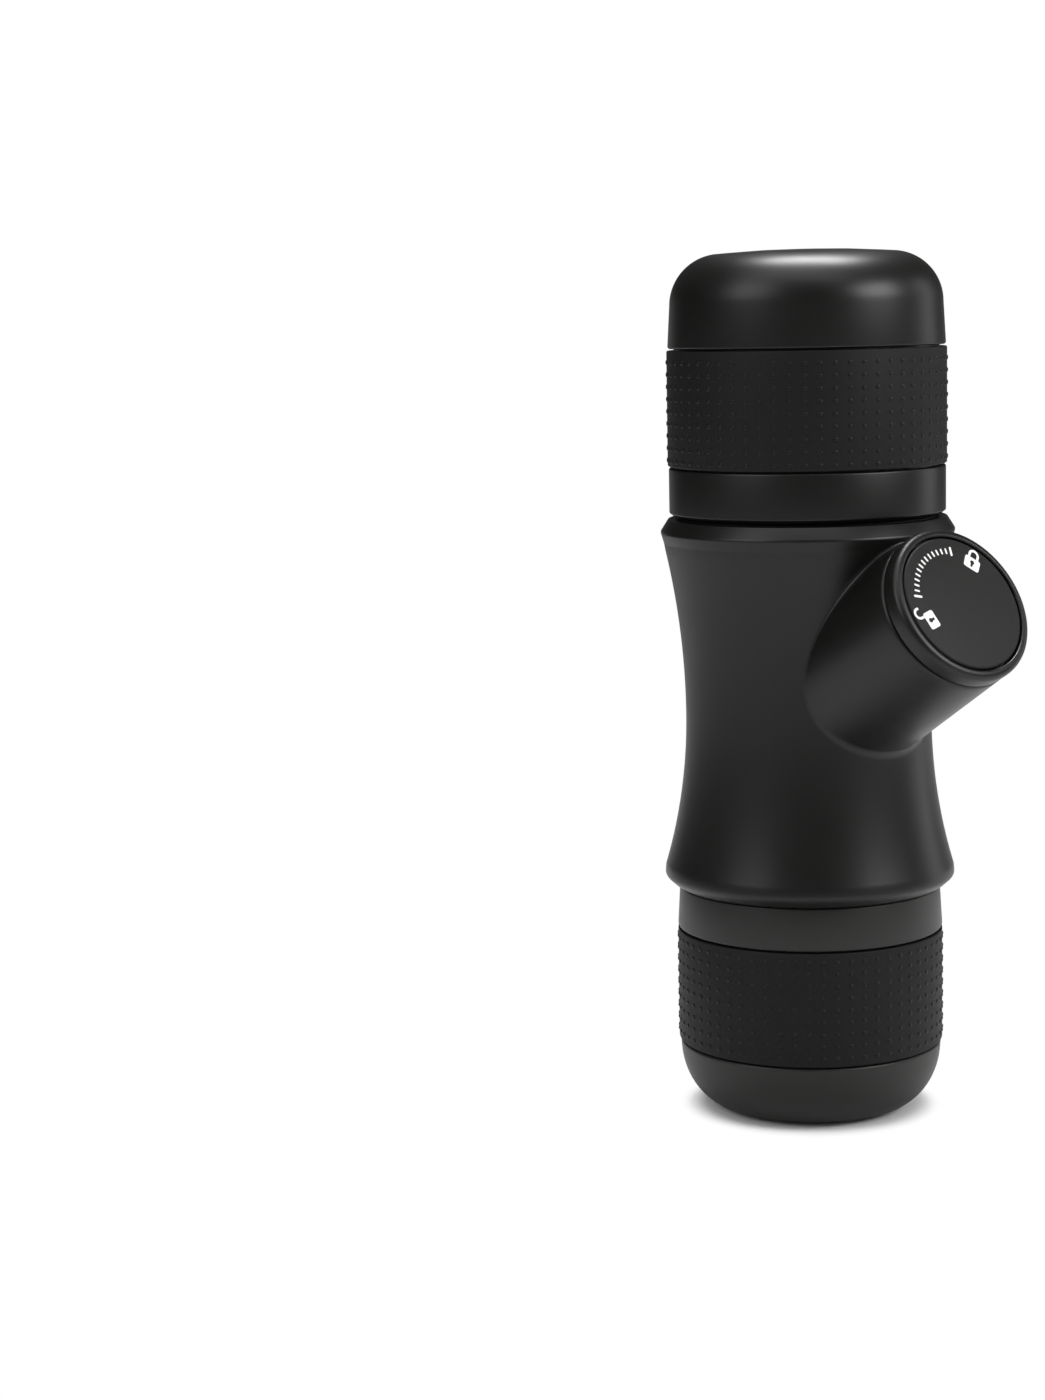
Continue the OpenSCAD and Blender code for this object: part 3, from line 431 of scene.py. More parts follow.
def nub_rows():
    """Round nubs in straight rows and columns around the Z axis, added to the sleeve."""
    t = new_group("nub_rows", "GeometryNodeTree",
                  {"Geometry": "Geometry", "Columns": "Int", "Rows": "Int", "Radius": "Float",
                   "Bottom": "Float", "Pitch": "Float", "Nub Radius": "Float",
                   "Nub Height": "Float", "Material": "Material"}, {"Geometry": "Geometry"})
    g = t.inputs
    index = t.add("GeometryNodeInputIndex").outputs[0]
    row = t.math("FLOOR", t.math("DIVIDE", t.math("ADD", index, 0.5), g["Columns"]))
    turn = t.math("MULTIPLY", index, t.math("DIVIDE", FULL_TURN, g["Columns"]))
    height = t.math("MULTIPLY_ADD", row, g["Pitch"], g["Bottom"])
    ball = t.add("GeometryNodeMeshUVSphere", {"Segments": 12, "Rings": 7, "Radius": 1.0})
    nub = t.add("GeometryNodeStoreNamedAttribute",
                {"Geometry": ball.outputs[0], "Name": NUB_MARK, "Value": 1.0}).outputs[0]
    size = t.xyz(g["Nub Height"], g["Nub Radius"], g["Nub Radius"])
    return add_copies(t, t.on_ring(g["Radius"], turn, height),
                      t.math("MULTIPLY", g["Columns"], g["Rows"]), nub, t.xyz(z=turn), size)


def thread_rows():
    """Lugs of a screw thread along a helix around the Z axis."""
    t = new_group("thread_rows", "GeometryNodeTree",
                  {"Geometry": "Geometry", "Count": "Int", "Per Turn": "Int", "Radius": "Float",
                   "Bottom": "Float", "Pitch": "Float", "Lug Size": "Vector",
                   "Material": "Material"}, {"Geometry": "Geometry"})
    g = t.inputs
    index = t.add("GeometryNodeInputIndex").outputs[0]
    part = t.math("DIVIDE", index, g["Per Turn"])
    turn = t.math("MULTIPLY", part, FULL_TURN)
    height = t.math("MULTIPLY_ADD", part, g["Pitch"], g["Bottom"])
    lug = t.add("GeometryNodeMeshCube", {"Size": g["Lug Size"]}).outputs[0]
    around = t.math("MULTIPLY", g["Radius"], FULL_TURN)
    slope = t.math("ARCTANGENT", t.math("DIVIDE", g["Pitch"], around))
    return add_copies(t, t.on_ring(g["Radius"], turn, height), g["Count"], lug,
                      t.xyz(slope, 0.0, turn))


def grow(piece, tree, values):
    """Runs a node tree on the piece with the given input values and keeps the plain mesh."""
    modifier = piece.modifiers.new(tree.name, "NODES")
    modifier.node_group = tree
    for item in tree.interface.items_tree:
        if item.in_out == "INPUT" and item.name in values:
            modifier[item.identifier] = values[item.name]
    bake_modifiers(piece)


# ------------------------------------------------------------------ finishes

MATERIALS = {}


def dress(piece, body, slot, node):
    """Gives a piece its material and its body, and hides the node that it stands for."""
    piece.data.materials.clear()
    piece.data.materials.append(MATERIALS[slot])
    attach(piece, body)
    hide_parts(node)


def moulded_surface():
    """Fine grain and soft handling marks that change colour, roughness and height a little."""
    t = new_group("moulded_surface", "ShaderNodeTree",
                  {"Colour": "Color", "Colour Shift": "Float", "Roughness": "Float",
                   "Roughness Shift": "Float", "Grain Scale": "Float", "Marks Scale": "Float"},
                  {"Colour": "Color", "Roughness": "Float", "Height": "Float"})
    g = t.inputs
    place = t.place()
    grain = t.noise(place, g["Grain Scale"], 3.0, 0.6)
    marks = t.noise(place, g["Marks Scale"], 5.0, 0.62, 0.8)
    swing = t.math("MULTIPLY_ADD", t.mix(0.5, grain, marks), 2.0, -1.0)
    tone = t.math("MULTIPLY_ADD", swing, g["Colour Shift"], 1.0)
    smear = t.math("MULTIPLY_ADD", t.mix(0.75, grain, marks), 2.0, -1.0)
    rough = t.math("MULTIPLY_ADD", smear, g["Roughness Shift"], g["Roughness"])
    t.feed(t.results, {"Colour": t.scaled(g["Colour"], tone), "Roughness": rough, "Height": grain})


def worn_and_highlit_edges():
    """Mask of every edge, convex and concave, broken up by noise: partly where hands and the table
    rub, partly a painted highlight for the light that edges catch.
    """
    t = new_group("worn_and_highlit_edges", "ShaderNodeTree", {"Width": "Float", "Strength": "Float"},
                  {"Mask": "Float"})
    g = t.inputs
    rounded_off = t.add("ShaderNodeBevel", {"Radius": g["Width"]}, samples=4).outputs[0]
    own = t.add("ShaderNodeNewGeometry").outputs["Normal"]
    same = t.add("ShaderNodeVectorMath", {0: rounded_off, 1: own}, operation="DOT_PRODUCT")
    edge = t.ramp(same.outputs["Value"], 0.995, 0.8)
    broken = t.ramp(t.noise(t.place(), 260.0, 4.0), 0.35, 0.7, 0.25, 1.0)
    t.feed(t.results, {"Mask": t.math("MULTIPLY", t.math("MULTIPLY", edge, broken),
                                      g["Strength"])})


def brushed_metal():
    """Fine turned lines round the Z axis and cloudy variation."""
    t = new_group("brushed_metal", "ShaderNodeTree", {"Line Scale": "Float", "Roughness": "Float"},
                  {"Tone": "Float", "Roughness": "Float", "Height": "Float"})
    g = t.inputs
    place = t.place()
    x, y, z = t.add("ShaderNodeSeparateXYZ", {0: place}).outputs
    across = t.math("SQRT", t.math("ADD", t.math("MULTIPLY", x, x), t.math("MULTIPLY", y, y)))
    lines = t.noise(t.xyz(across, 0.0, z), g["Line Scale"], 2.0)
    both = t.mix(0.5, lines, t.noise(place, 120.0, 4.0))
    rough = t.math("MULTIPLY_ADD", t.math("SUBTRACT", both, 0.5), 0.25, g["Roughness"])
    t.feed(t.results, {"Tone": t.math("MULTIPLY_ADD", both, 0.3, 0.85), "Roughness": rough,
                       "Height": lines})


def new_material(name, specular=0.45, metallic=0.0):
    """A new material's tree and its shader."""
    material = bpy.data.materials.new(name)
    material.use_nodes = True
    shader = material.node_tree.nodes["Principled BSDF"]
    shader.inputs["Specular IOR Level"].default_value = specular
    shader.inputs["Metallic"].default_value = metallic
    MATERIALS[name] = material
    return Tree(material.node_tree), shader


# Lighter colour painted on every edge, convex and concave: partly rubbed wear, partly painted
# highlight; the polish lowers their roughness
EDGE_PAINT_WIDTH = 0.35
EDGE_PAINT_SHARE = 0.7
RUBBED_POLISH = 0.6
WORN_AND_HIGHLIT_BLACK = (0.02, 0.02, 0.02)

# Moulded finishes, with grain size and bump depth in millimetres; edges is the lighter colour
# painted on their edges as rubbed wear and as painted highlight, marks the scale of the handling
# marks, and nubs the roughness on a grip's nubs
MOULDED = {
    "shell_plastic": dict(colour=(0.0032, 0.0032, 0.0028), roughness=0.38, grain=0.22,
                          depth=0.004, edges=WORN_AND_HIGHLIT_BLACK),
    "cup_plastic": dict(colour=(0.0115, 0.0115, 0.0105), roughness=0.43, grain=0.22,
                        depth=0.004, edges=(0.028, 0.028, 0.027)),
    "grip_rubber": dict(colour=(0.004, 0.004, 0.0039), roughness=0.6, grain=0.16, depth=0.011,
                        edges=(0.012, 0.012, 0.012), nubs=0.42, specular=0.28),
    "seal_rubber": dict(colour=(0.006, 0.006, 0.006), roughness=0.7, grain=0.3, depth=0.006),
    "inner_plastic": dict(colour=(0.05, 0.05, 0.052), roughness=0.42, grain=0.3, depth=0.006,
                          edges=(0.08, 0.08, 0.082)),
    "pump_plastic": dict(colour=(0.70, 0.70, 0.67), roughness=0.38, grain=0.4, depth=0.006,
                         colour_shift=0.05, roughness_shift=0.06),
    "shaft_plastic": dict(colour=(0.008, 0.008, 0.008), roughness=0.13, grain=0.5, depth=0.001,
                          edges=WORN_AND_HIGHLIT_BLACK, roughness_shift=0.04, marks=110.0),
    "insert_plastic": dict(colour=(0.0062, 0.0062, 0.0057), roughness=0.52, grain=0.14,
                           depth=0.025, edges=WORN_AND_HIGHLIT_BLACK, specular=0.3),
    "print_white": dict(colour=(0.8, 0.8, 0.79), roughness=0.45, grain=0.12, depth=0.004,
                        colour_shift=0.06, roughness_shift=0.08, marks=900.0),
}
STEEL = (0.62, 0.62, 0.63)
STEEL_ROUGHNESS = 0.26
STEEL_DEPTH = 0.003
BRUSH_SCALE = 6000.0


def add_bump(t, height, depth):
    """The normal of a surface whose height varies by that many millimetres."""
    values = {"Height": height, "Strength": 1.0, "Distance": depth * MM}
    return t.add("ShaderNodeBump", values).outputs[0]


def moulded(name, colour, roughness, grain, depth, edges=None, colour_shift=0.25,
            roughness_shift=0.05, marks=70.0, nubs=None, specular=0.45):
    """A material of moulded plastic or rubber."""
    t, shader = new_material(name, specular)
    surface = t.group("moulded_surface", {
        "Colour": (*colour, 1), "Colour Shift": colour_shift, "Roughness": roughness,
        "Roughness Shift": roughness_shift, "Grain Scale": 1 / (grain * MM),
        "Marks Scale": marks})
    paint = surface["Colour"]
    rough = surface["Roughness"]
    if edges:
        # Painted highlight and wear: every edge is lightened towards the edges colour
        values = {"Width": EDGE_PAINT_WIDTH * MM, "Strength": EDGE_PAINT_SHARE}
        edge_paint = t.group("worn_and_highlit_edges", values)["Mask"]
        paint = t.mix(edge_paint, paint, (*edges, 1), "RGBA")
        rough = t.mix(edge_paint, rough, RUBBED_POLISH * roughness)
    if nubs:
        on_nub = t.add("ShaderNodeAttribute", attribute_name=NUB_MARK).outputs["Fac"]
        rough = t.mix(on_nub, rough, nubs)
    t.feed(shader.inputs, {"Base Color": paint, "Roughness": rough,
                           "Normal": add_bump(t, surface["Height"], depth)})


def brushed_steel():
    t, shader = new_material("steel", metallic=1.0)
    brush = t.group("brushed_metal", {"Line Scale": BRUSH_SCALE, "Roughness": STEEL_ROUGHNESS})
    t.feed(shader.inputs, {"Base Color": t.scaled(STEEL, brush["Tone"]),
                           "Roughness": brush["Roughness"],
                           "Normal": add_bump(t, brush["Height"], STEEL_DEPTH)})


def make_materials():
    moulded_surface()
    worn_and_highlit_edges()
    brushed_metal()
    for name, finish in MOULDED.items():
        moulded(name, **finish)
    brushed_steel()


# ------------------------------------------------------------------ body shell

def waist_arc(reach, dz):
    """Radius of the arc, upright at the waist, that reaches that radius at a distance dz."""
    out = reach - WAIST_R
    return (dz * dz + out * out) / (2 * out)


LOW_ARC = waist_arc(SIDE_LOW_R, WAIST_Z - LOW_EDGE_Z)
TOP_ARC = waist_arc(SIDE_TOP_R, LIP_Z - WAIST_Z)


def side_r(z):
    """Outer radius of the waisted side at height z."""
    dz = z - WAIST_Z
    big = LOW_ARC if dz < 0 else TOP_ARC
    return WAIST_R + big - math.sqrt(big * big - dz * dz)


def shell_rows():
    """The shell's outer outline, from its underside up to its rim."""
    low = rounded([(UNDER_R, SHELL_Z0 + 1, 0), (UNDER_R, SHELL_Z0, 0.15),
                   (28.3, SHELL_Z0 + 0.55, 0.3), (LOW_EDGE_R, LOW_EDGE_Z - 1.2, 1.3),
                   (side_r(LOW_EDGE_Z + 2), LOW_EDGE_Z + 2, 0)])
    first = LOW_EDGE_Z + SIDE_MARGIN
    height = LIP_Z - LOW_EDGE_Z - 2 * SIDE_MARGIN
    side = [(side_r(z), z) for z in
            (first + k * height / (SIDE_ROWS - 1) for k in range(SIDE_ROWS))]
    lip = rounded([(side_r(LIP_Z - 1), LIP_Z - 1, 0), (29.5, LIP_Z + 1.2, 2.5),
                   (LIP_R, SHELL_Z1 - 2.6, 0.9), (RIM_R, SHELL_Z1, 0.3), (27, SHELL_Z1, 0)], 6)
    return low[1:-1] + side + lip[1:-1]


ROWS = shell_rows()


def shell_r(z):
    """Outer radius of the whole shell at height z, or 0 above and below it."""
    for (r0, z0), (r1, z1) in zip(ROWS, ROWS[1:]):
        if z0 <= z <= z1 and z1 > z0:
            return r0 + (r1 - r0) * (z - z0) / (z1 - z0)
    return 0


def arm_r(s):
    """Outer radius of the arm at a distance s along it."""
    return ARM_MOUTH_R + (ARM_LEN - s) * ARM_DRAFT


def leaves_shell(r, a):
    """Distance along the arm at which the line at radius r and angle a leaves the shell."""
    inside, outside = 0.0, 60.0
    for _ in range(40):
        s = (inside + outside) / 2
        x, y, z = on_arm(r, a, s)
        if math.hypot(x, y) < shell_r(z):
            inside = s
        else:
            outside = s
    return (inside + outside) / 2


def root_section(a, steps=9):
    """The rounding between arm and shell at angle a, as (s, r) points from the arm outwards."""
    def along_shell(s, r, step):
        """Direction in which the shell goes on from there."""
        return Vector((leaves_shell(r + step, a) - s, step)).normalized()

    s = 20
    for _ in range(9):
        s = leaves_shell(arm_r(s), a)
    r = arm_r(s)
    out = along_shell(s, r, 0.4)
    inwards = Vector((-1, ARM_DRAFT)).normalized()
    turn = inwards.angle(out)
    low_share = (1 - math.cos(a)) / 2
    rounding = ROOT_ROUND_HIGH + (ROOT_ROUND_LOW - ROOT_ROUND_HIGH) * low_share
    reach = rounding * math.tan(turn / 2)
    r_far = r + reach * out.y
    s_far = leaves_shell(r_far, a)
    start = Vector((s, r)) - inwards * reach
    end = Vector((s_far, r_far))
    handle = reach * (4 / 3) * math.tan(turn / 4) / math.tan(turn / 2)
    first = start + inwards * handle
    second = end - along_shell(s_far, r_far, 0.3) * handle
    points = []
    for k in range(steps + 1):
        t = k / steps
        u = 1 - t
        points.append(start * u ** 3 + first * 3 * u * u * t + second * 3 * u * t * t +
                      end * t ** 3)
    return points


def arm_rings(add):
    """Rings of points from the outer edge of the root's rounding to the rounded mouth."""
    columns = []
    for k in range(ARM_COLUMNS):
        a = FULL_TURN * k / ARM_COLUMNS
        section = root_section(a)
        column = [on_arm(r, a, s) for s, r in reversed(section)]
        start = section[0].x
        for j in range(ARM_ROWS):
            s = start + (ARM_LEN - MOUTH_ROUND - start) * (j + 1) / ARM_ROWS
            column.append(on_arm(arm_r(s), a, s))
        for j in range(1, MOUTH_STEPS + 1):
            q = math.pi / 2 * j / MOUTH_STEPS
            s = ARM_LEN - MOUTH_ROUND + MOUTH_ROUND * math.sin(q)
            r = arm_r(ARM_LEN) - MOUTH_ROUND * (1 - math.cos(q))
            column.append(on_arm(r, a, s))
        columns.append([add(point) for point in column])
    return [list(ring) for ring in zip(*columns)]


def is_inside(p, loop):
    """Whether a flat point lies inside a closed loop."""
    crossings = 0
    for b, c in zip(loop, loop[1:] + loop[:1]):
        if (b.y > p.y) != (c.y > p.y) and p.x < b.x + (c.x - b.x) * (p.y - b.y) / (c.y - b.y):
            crossings += 1
    return crossings % 2 == 1


def near_root(flat, loop):
    """Points of the unrolled side that lie inside the arm's root or close to its edge."""
    left, right = min(q.x for q in loop) - 1, max(q.x for q in loop) + 1
    low, high = min(q.y for q in loop) - 1, max(q.y for q in loop) + 1
    found = set()
    for v, p in flat.items():
        if left < p.x < right and low < p.y < high:
            gap = min((p - q).length for q in loop)
            if gap < ROOT_CLEARANCE or is_inside(p, loop):
                found.add(v)
    return found


def join_root(rim_edges, flat, root, loop):
    """Triangles between the side's stepped rim and the outer edge of the root's rounding."""
    ids = sorted({v for edge in rim_edges for v in edge})
    local = {v: j for j, v in enumerate(ids)}
    edges = [(local[b], local[c]) for b, c in rim_edges]
    edges += [(len(ids) + k, len(ids) + n) for k, n in neighbours(len(loop))]
    within_rim = 1
    spots, _, triangles, origins, _, _ = delaunay_2d_cdt(
        [flat[v] for v in ids] + loop, edges, [], within_rim, 1e-6)
    faces = []
    for tri in triangles:
        centre = sum((spots[j] for j in tri), Vector((0, 0))) / 3
        on_rim = any(origins[j][0] < len(ids) for j in tri)
        if on_rim or not is_inside(centre, loop):
            faces.append([(ids + root)[origins[j][0]] for j in tri])
    return faces


def shell_skin():
    """The shell's closed outer form: waisted side, lip, arm and the rounding at its root."""
    points = []
    faces = []

    def add(point):
        points.append(tuple(point))
        return len(points) - 1

    rings = arm_rings(add)
    for low, high in zip(rings, rings[1:]):
        faces += band_faces(low, high)
    faces += end_faces(rings[-1], add(on_arm(0, 0, ARM_LEN)))

    # The side as a grid that is left open around the root, with each point's place unrolled
    root = rings[0]
    loop = [Vector((math.atan2(points[i][1], points[i][0]) * WAIST_R, points[i][2]))
            for i in root]
    grid = []
    flat = {}
    for r, z in ROWS:
        turns = [FULL_TURN * k / SHELL_COLUMNS - math.pi for k in range(SHELL_COLUMNS)]
        grid.append([add(upright(r, a, z)) for a in turns])
        flat.update((v, Vector((a * WAIST_R, z))) for v, a in zip(grid[-1], turns))
    blocked = near_root(flat, loop)
    sides = {}
    for low, high in zip(grid, grid[1:]):
        for cell in band_faces(low, high):
            if blocked.isdisjoint(cell):
                faces.append(cell)
                sides.update(dict.fromkeys(zip(cell, cell[1:] + cell[:1])))
    ends = set(grid[0]) | set(grid[-1])
    rim_edges = [(b, c) for b, c in sides
                 if (c, b) not in sides and not (b in ends and c in ends)]
    faces += join_root(rim_edges, flat, root, loop)

    # Flat ends, which the inside's cut opens
    for ring, (_, z) in ((grid[0], ROWS[0]), (grid[-1], ROWS[-1])):
        faces += end_faces(ring, add((0, 0, z)))
    return mesh_piece("body_shell_skin", points, faces)


def shell_inside():
    """What is cut out of the shell: both sockets, the hollow waist and the arm's bore."""
    r0, z0 = LOW_SOCKET
    r1, z1 = TOP_SOCKET
    rows = 40
    hollow = [(side_r(z) - SHELL_WALL, z, 0) for z in
              (z0 + LEDGE_T + k * (z1 - z0 - 2 * LEDGE_T) / rows for k in range(rows + 1))]
    body = lathe("hollow", rounded(
        [(0, SHELL_Z0 - 2, 0), (r0, SHELL_Z0 - 2, 0), (r0, z0, 0), (LEDGE_OPEN_R, z0, 0),
         (LEDGE_OPEN_R, z0 + LEDGE_T, 0)] + hollow +
        [(LEDGE_OPEN_R, z1 - LEDGE_T, 0), (LEDGE_OPEN_R, z1, 0), (r1, z1, 0),
         (r1, SHELL_Z1 + 2, 0), (0, SHELL_Z1 + 2, 0)]), 160)
    bore = lathe("bore", [(0, 1), (ARM_BORE_R, 1), (ARM_BORE_R, ARM_LEN - MOUTH_CHAMFER),
                          (ARM_BORE_R + MOUTH_CHAMFER + 1, ARM_LEN + 1), (0, ARM_LEN + 1)],
                 128, on_arm)
    return [body, bore]


def body_shell():
    piece = shell_skin()
    cut_away(piece, shell_inside())
    piece.name = "shell_with_arm"
    dress(smooth(piece, 28), "main_body", "shell_plastic", "body_shell")


# ------------------------------------------------------------------ tank and cup

def grip_groove(node):
    """Lower and upper end of the groove that holds a grip."""
    low, high = heights(node)
    return low - GRIP_GAP, high + GRIP_GAP


def water_tank():
    """Domed tank, open below, with the bands above and below its grip."""
    low, high = grip_groove("tank_grip")
    corner_r, corner_z = DOME_CORNER
    outline = rounded(
        [(TANK_THREAD_R + 0.4, TANK_Z0, 0), (TANK_FOOT_R, TANK_Z0, 0.2),
         (TANK_BAND_R, TANK_Z0 + 0.9, 0.35), (TANK_BAND_R, low, BAND_BEVEL),
         (TANK_CORE_R, low, 0), (TANK_CORE_R, high, 0), (TANK_BAND_R, high, BAND_BEVEL)] +
        bend_corners(DOME_CORNER, DOME_ROUND, DOME_ROUND, 0, DOME_END, 18) +
        [(share * corner_r, TANK_Z1 - drop, 0) for share, drop in CROWN] +
        [(0, TANK_Z1 - 2.4, 0), (corner_r, TANK_Z1 - 3.0, 0)] +
        bend_corners(DOME_CORNER, DOME_INNER_ROUND, DOME_INNER_ROUND, DOME_END, 0, 6) +
        [(TANK_INNER_R, corner_z - 3, 0), (TANK_INNER_R, TANK_Z0 + 10.3, 0),
         (TANK_THREAD_R, TANK_Z0 + 9.5, 0), (TANK_THREAD_R, TANK_Z0 + 0.4, 0)])
    piece = smooth(lathe("tank_body", outline))
    grow(piece, THREAD_TREE, {
        "Count": LUGS_PER_TURN, "Per Turn": LUGS_PER_TURN, "Radius": TANK_LUG_R * MM,
        "Bottom": (TANK_Z0 + 1.45) * MM, "Pitch": THREAD_PITCH * MM,
        "Lug Size": [size * MM for size in TANK_LUG], "Material": MATERIALS["shell_plastic"]})
    dress(smooth(piece), "tank", "shell_plastic", "water_tank")


def cup():
    """Round-bottomed cup that the maker stands on."""
    low, high = grip_groove("cup_grip")
    inner_z = CUP_FLOOR_T + CUP_INNER_CURVE_H
    outline = rounded(
        [(0, 0, 0)] +
        bend_corners((CUP_FOOT_R, CUP_CURVE_H), CUP_R - 0.4 - CUP_FOOT_R, CUP_CURVE_H,
                     -90, -4, 20) +
        [(CUP_R - 0.3, low, 0.55), (CUP_CORE_R, low, 0), (CUP_CORE_R, high, 0),
         (CUP_R, high, BAND_BEVEL), (CUP_R - 0.5, CUP_H, 0.35), (CUP_MOUTH_R, CUP_H, 0.2),
         (CUP_MOUTH_R, CUP_H - 6.2, 0), (CUP_INNER_R, CUP_H - 6.7, 0), (CUP_INNER_R, inner_z, 0)] +
        bend_corners((CUP_INNER_FOOT_R, inner_z), CUP_INNER_R - CUP_INNER_FOOT_R,
                     CUP_INNER_CURVE_H, 0, -90, 16) +
        [(0, CUP_FLOOR_T, 0)])
    dress(smooth(lathe("cup_body", outline)), "cup", "cup_plastic", "cup")


def grip(node, body, thickness, drop):
    """Rubber sleeve with rows of round nubs."""
    z0, z1 = heights(node)
    r = radius(node)
    inner = r - thickness
    outline = rounded([(inner, z0, 0), (r, z0, GRIP_BEVEL), (r, z1, GRIP_BEVEL), (inner, z1, 0)])
    piece = smooth(lathe(node + "_sleeve", outline))
    first = (z0 + z1) / 2 - NUB_PITCH * (NUB_ROWS - 1) / 2 - drop
    grow(piece, NUB_TREE, {
        "Columns": NUB_COLUMNS, "Rows": NUB_ROWS, "Radius": (r - NUB_SUNK) * MM,
        "Bottom": first * MM, "Pitch": NUB_PITCH * MM, "Nub Radius": NUB_R * MM,
        "Nub Height": NUB_H * MM, "Material": MATERIALS["grip_rubber"]})
    dress(smooth(piece), body, "grip_rubber", node)


# ------------------------------------------------------------------ piston

def piston_cap():
    opening = INSERT_R + INSERT_GAP
    outline = rounded(
        [(CAP_HOLE_R, CAP_BOSS_S, 0), (CAP_BOSS_R, CAP_BOSS_S, 0), (CAP_BOSS_R, CAP_S0, 0),
         (CAP_R, CAP_S0, 0.4), (CAP_R, CAP_FRONT, 1.35), (opening, CAP_FRONT, 0.4),
         (opening, CAP_SEAT, 0), (CAP_HOLE_R, CAP_SEAT, 0)], 6)
    piece = lathe("cap_body", outline, 200, on_arm)
    dress(smooth(piece), "piston", "shell_plastic", "piston_cap")


def cap_insert():
    outline = rounded([(0, SCREW_HEAD_S, 0), (SCREW_HEAD_R, SCREW_HEAD_S, 0),
                       (SCREW_HEAD_R, INSERT_BACK, 0), (INSERT_R, INSERT_BACK, 0),
                       (INSERT_R, INSERT_FRONT, 0.55), (0, INSERT_FRONT, 0)])
    piece = lathe("insert_disc", outline, 200, on_arm)
    dress(smooth(piece), "piston", "insert_plastic", "cap_insert")


def padlock(is_open):
    """Outline of a plain padlock and its holes, upright round its own middle."""
    w, h, corner = LOCK_W / 2, LOCK_H, LOCK_ROUND
    bow_in = LOCK_BOW - LOCK_BOW_T

    def turn(x, y, r, first, last, steps=4):
        return bend((x, y), r, r, first, last, steps)

    def arch(x, r, first, last):
        return turn(x, LOCK_LEG, r, first, last, 10)

    body = (turn(-w + corner, corner - h, corner, 180, 270) +
            turn(w - corner, corner - h, corner, 270, 360))
    right = turn(w - corner, -corner, corner, 0, 90)
    left = turn(-w + corner, -corner, corner, 90, 180)
    top, foot = (-share * h for share in KEYHOLE_AT)
    keyhole = (turn(0, top, KEYHOLE_R, -60, 240, 12) +
               [(-KEYHOLE_FOOT, foot), (KEYHOLE_FOOT, foot)])
    if is_open:
        x = w - LOCK_SHOULDER - LOCK_BOW_T
        cx = x + LOCK_BOW
        leg_end = LOCK_LEG - LOCK_SWUNG_LEG
        bow = ([(x + LOCK_BOW_T, 0)] + arch(cx, bow_in, 180, 0) +
               [(cx + bow_in, leg_end), (cx + LOCK_BOW, leg_end)] +
               arch(cx, LOCK_BOW, 0, 180) + [(x, 0)])
        return [body + right + bow + left, keyhole]
    bow = [(LOCK_BOW, 0)] + arch(0, LOCK_BOW, 0, 180) + [(-LOCK_BOW, 0)]
    eye = [(bow_in, 0)] + arch(0, bow_in, 0, 180) + [(-bow_in, 0)]
    return [body + right + bow + left, eye, keyhole]


def tick(length, width):
    """Outline of a tick with round ends, along its own radius."""
    r = width / 2
    y = length / 2 - r
    return [bend((0, y), r, r, 0, 180, 6) + bend((0, -y), r, r, 180, 360, 6)]


def cap_print():
    """White dial on the button: a closed and an open padlock with a row of ticks between them."""
    marks = [(padlock(False), LOCKED_AT, LOCKS_R), (padlock(True), OPEN_AT, LOCKS_R)]
    for k in range(TICKS):
        angle = TICK_ARC[0] + (TICK_ARC[1] - TICK_ARC[0]) * k / (TICKS - 1)
        marks.append((tick(*(END_TICK if k in (0, TICKS - 1) else TICK)), angle, PRINT_R))
    points = []
    faces = []
    for loops, angle, r in marks:
        a = math.radians(angle)
        out = Vector((math.cos(a), math.sin(a)))
        along = Vector((out.y, -out.x))
        flat = [[out * (r + y) + along * x for x, y in loop] for loop in loops]
        count = sum(len(loop) for loop in flat)
        first = len(points)
        for s in (INSERT_FRONT - PRINT_SUNK, INSERT_FRONT + PRINT_PROUD):
            middle = on_arm(0, 0, s)
            points += [tuple(middle + ARM_SIDE * p.x + ARM_UP * p.y) for loop in flat for p in loop]
        for tri in tessellate_polygon([[(p.x, p.y, 0) for p in loop] for loop in flat]):
            faces.append([first + i for i in tri])
            faces.append([first + count + i for i in reversed(tri)])
        for loop in flat:
            back = range(first, first + len(loop))
            faces += band_faces(back, [i + count for i in back])
            first += len(loop)
    piece = mesh_piece("cap_print", points, faces)
    piece.data.materials.append(MATERIALS["print_white"])
    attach(piece, "piston")


# ------------------------------------------------------------------ pieces inside

def refined(node, body, slot):
    """A CAD node's form with its edges broken and its round walls smooth."""
    piece = bpy.data.objects.new(node + "_finished", frame["nodes"][node].data.copy())
    bpy.context.scene.collection.objects.link(piece)
    work = bmesh.new()
    work.from_mesh(piece.data)
    bmesh.ops.remove_doubles(work, verts=work.verts, dist=2e-6)
    bmesh.ops.dissolve_limit(work, angle_limit=math.radians(FLAT_WITHIN), verts=work.verts,
                             edges=work.edges)
    work.to_mesh(piece.data)
    work.free()
    smooth(piece, SMOOTH_UP_TO)
    edge = piece.modifiers.new("broken edges", "BEVEL")
    edge.width = EDGE_BREAK * MM
    edge.segments = 2
    edge.limit_method = "ANGLE"
    edge.angle_limit = math.radians(BROKEN_FROM)
    edge.use_clamp_overlap = True
    flat_faces = piece.modifiers.new("flat faces stay flat", "WEIGHTED_NORMAL")
    flat_faces.keep_sharp = True
    bake_modifiers(piece)
    dress(piece, body, slot, node)


def paint_shown_nodes():
    """Gives each CAD node that still shows the material of its slot."""
    slots = {part["node"]: part["material_slot"] for part in frame["record"]["subparts"]}
    for node, piece in frame["nodes"].items():
        if not piece.hide_render:
            piece.data.materials.clear()
            piece.data.materials.append(MATERIALS[slots[node]])


# ------------------------------------------------------------------ camera, light and floor

# Places and sizes here are in metres
CAMERA_AT = (0.4332, -0.3821, 0.168)
CAMERA_HEADING = (-0.814, 0.581)
CAMERA_DIP = math.radians(8.05)
CAMERA_ROLL = math.radians(-1.2)
CAMERA_LENS = 71.87
TOWARDS_CAMERA = Vector((-CAMERA_HEADING[0], -CAMERA_HEADING[1], 0))

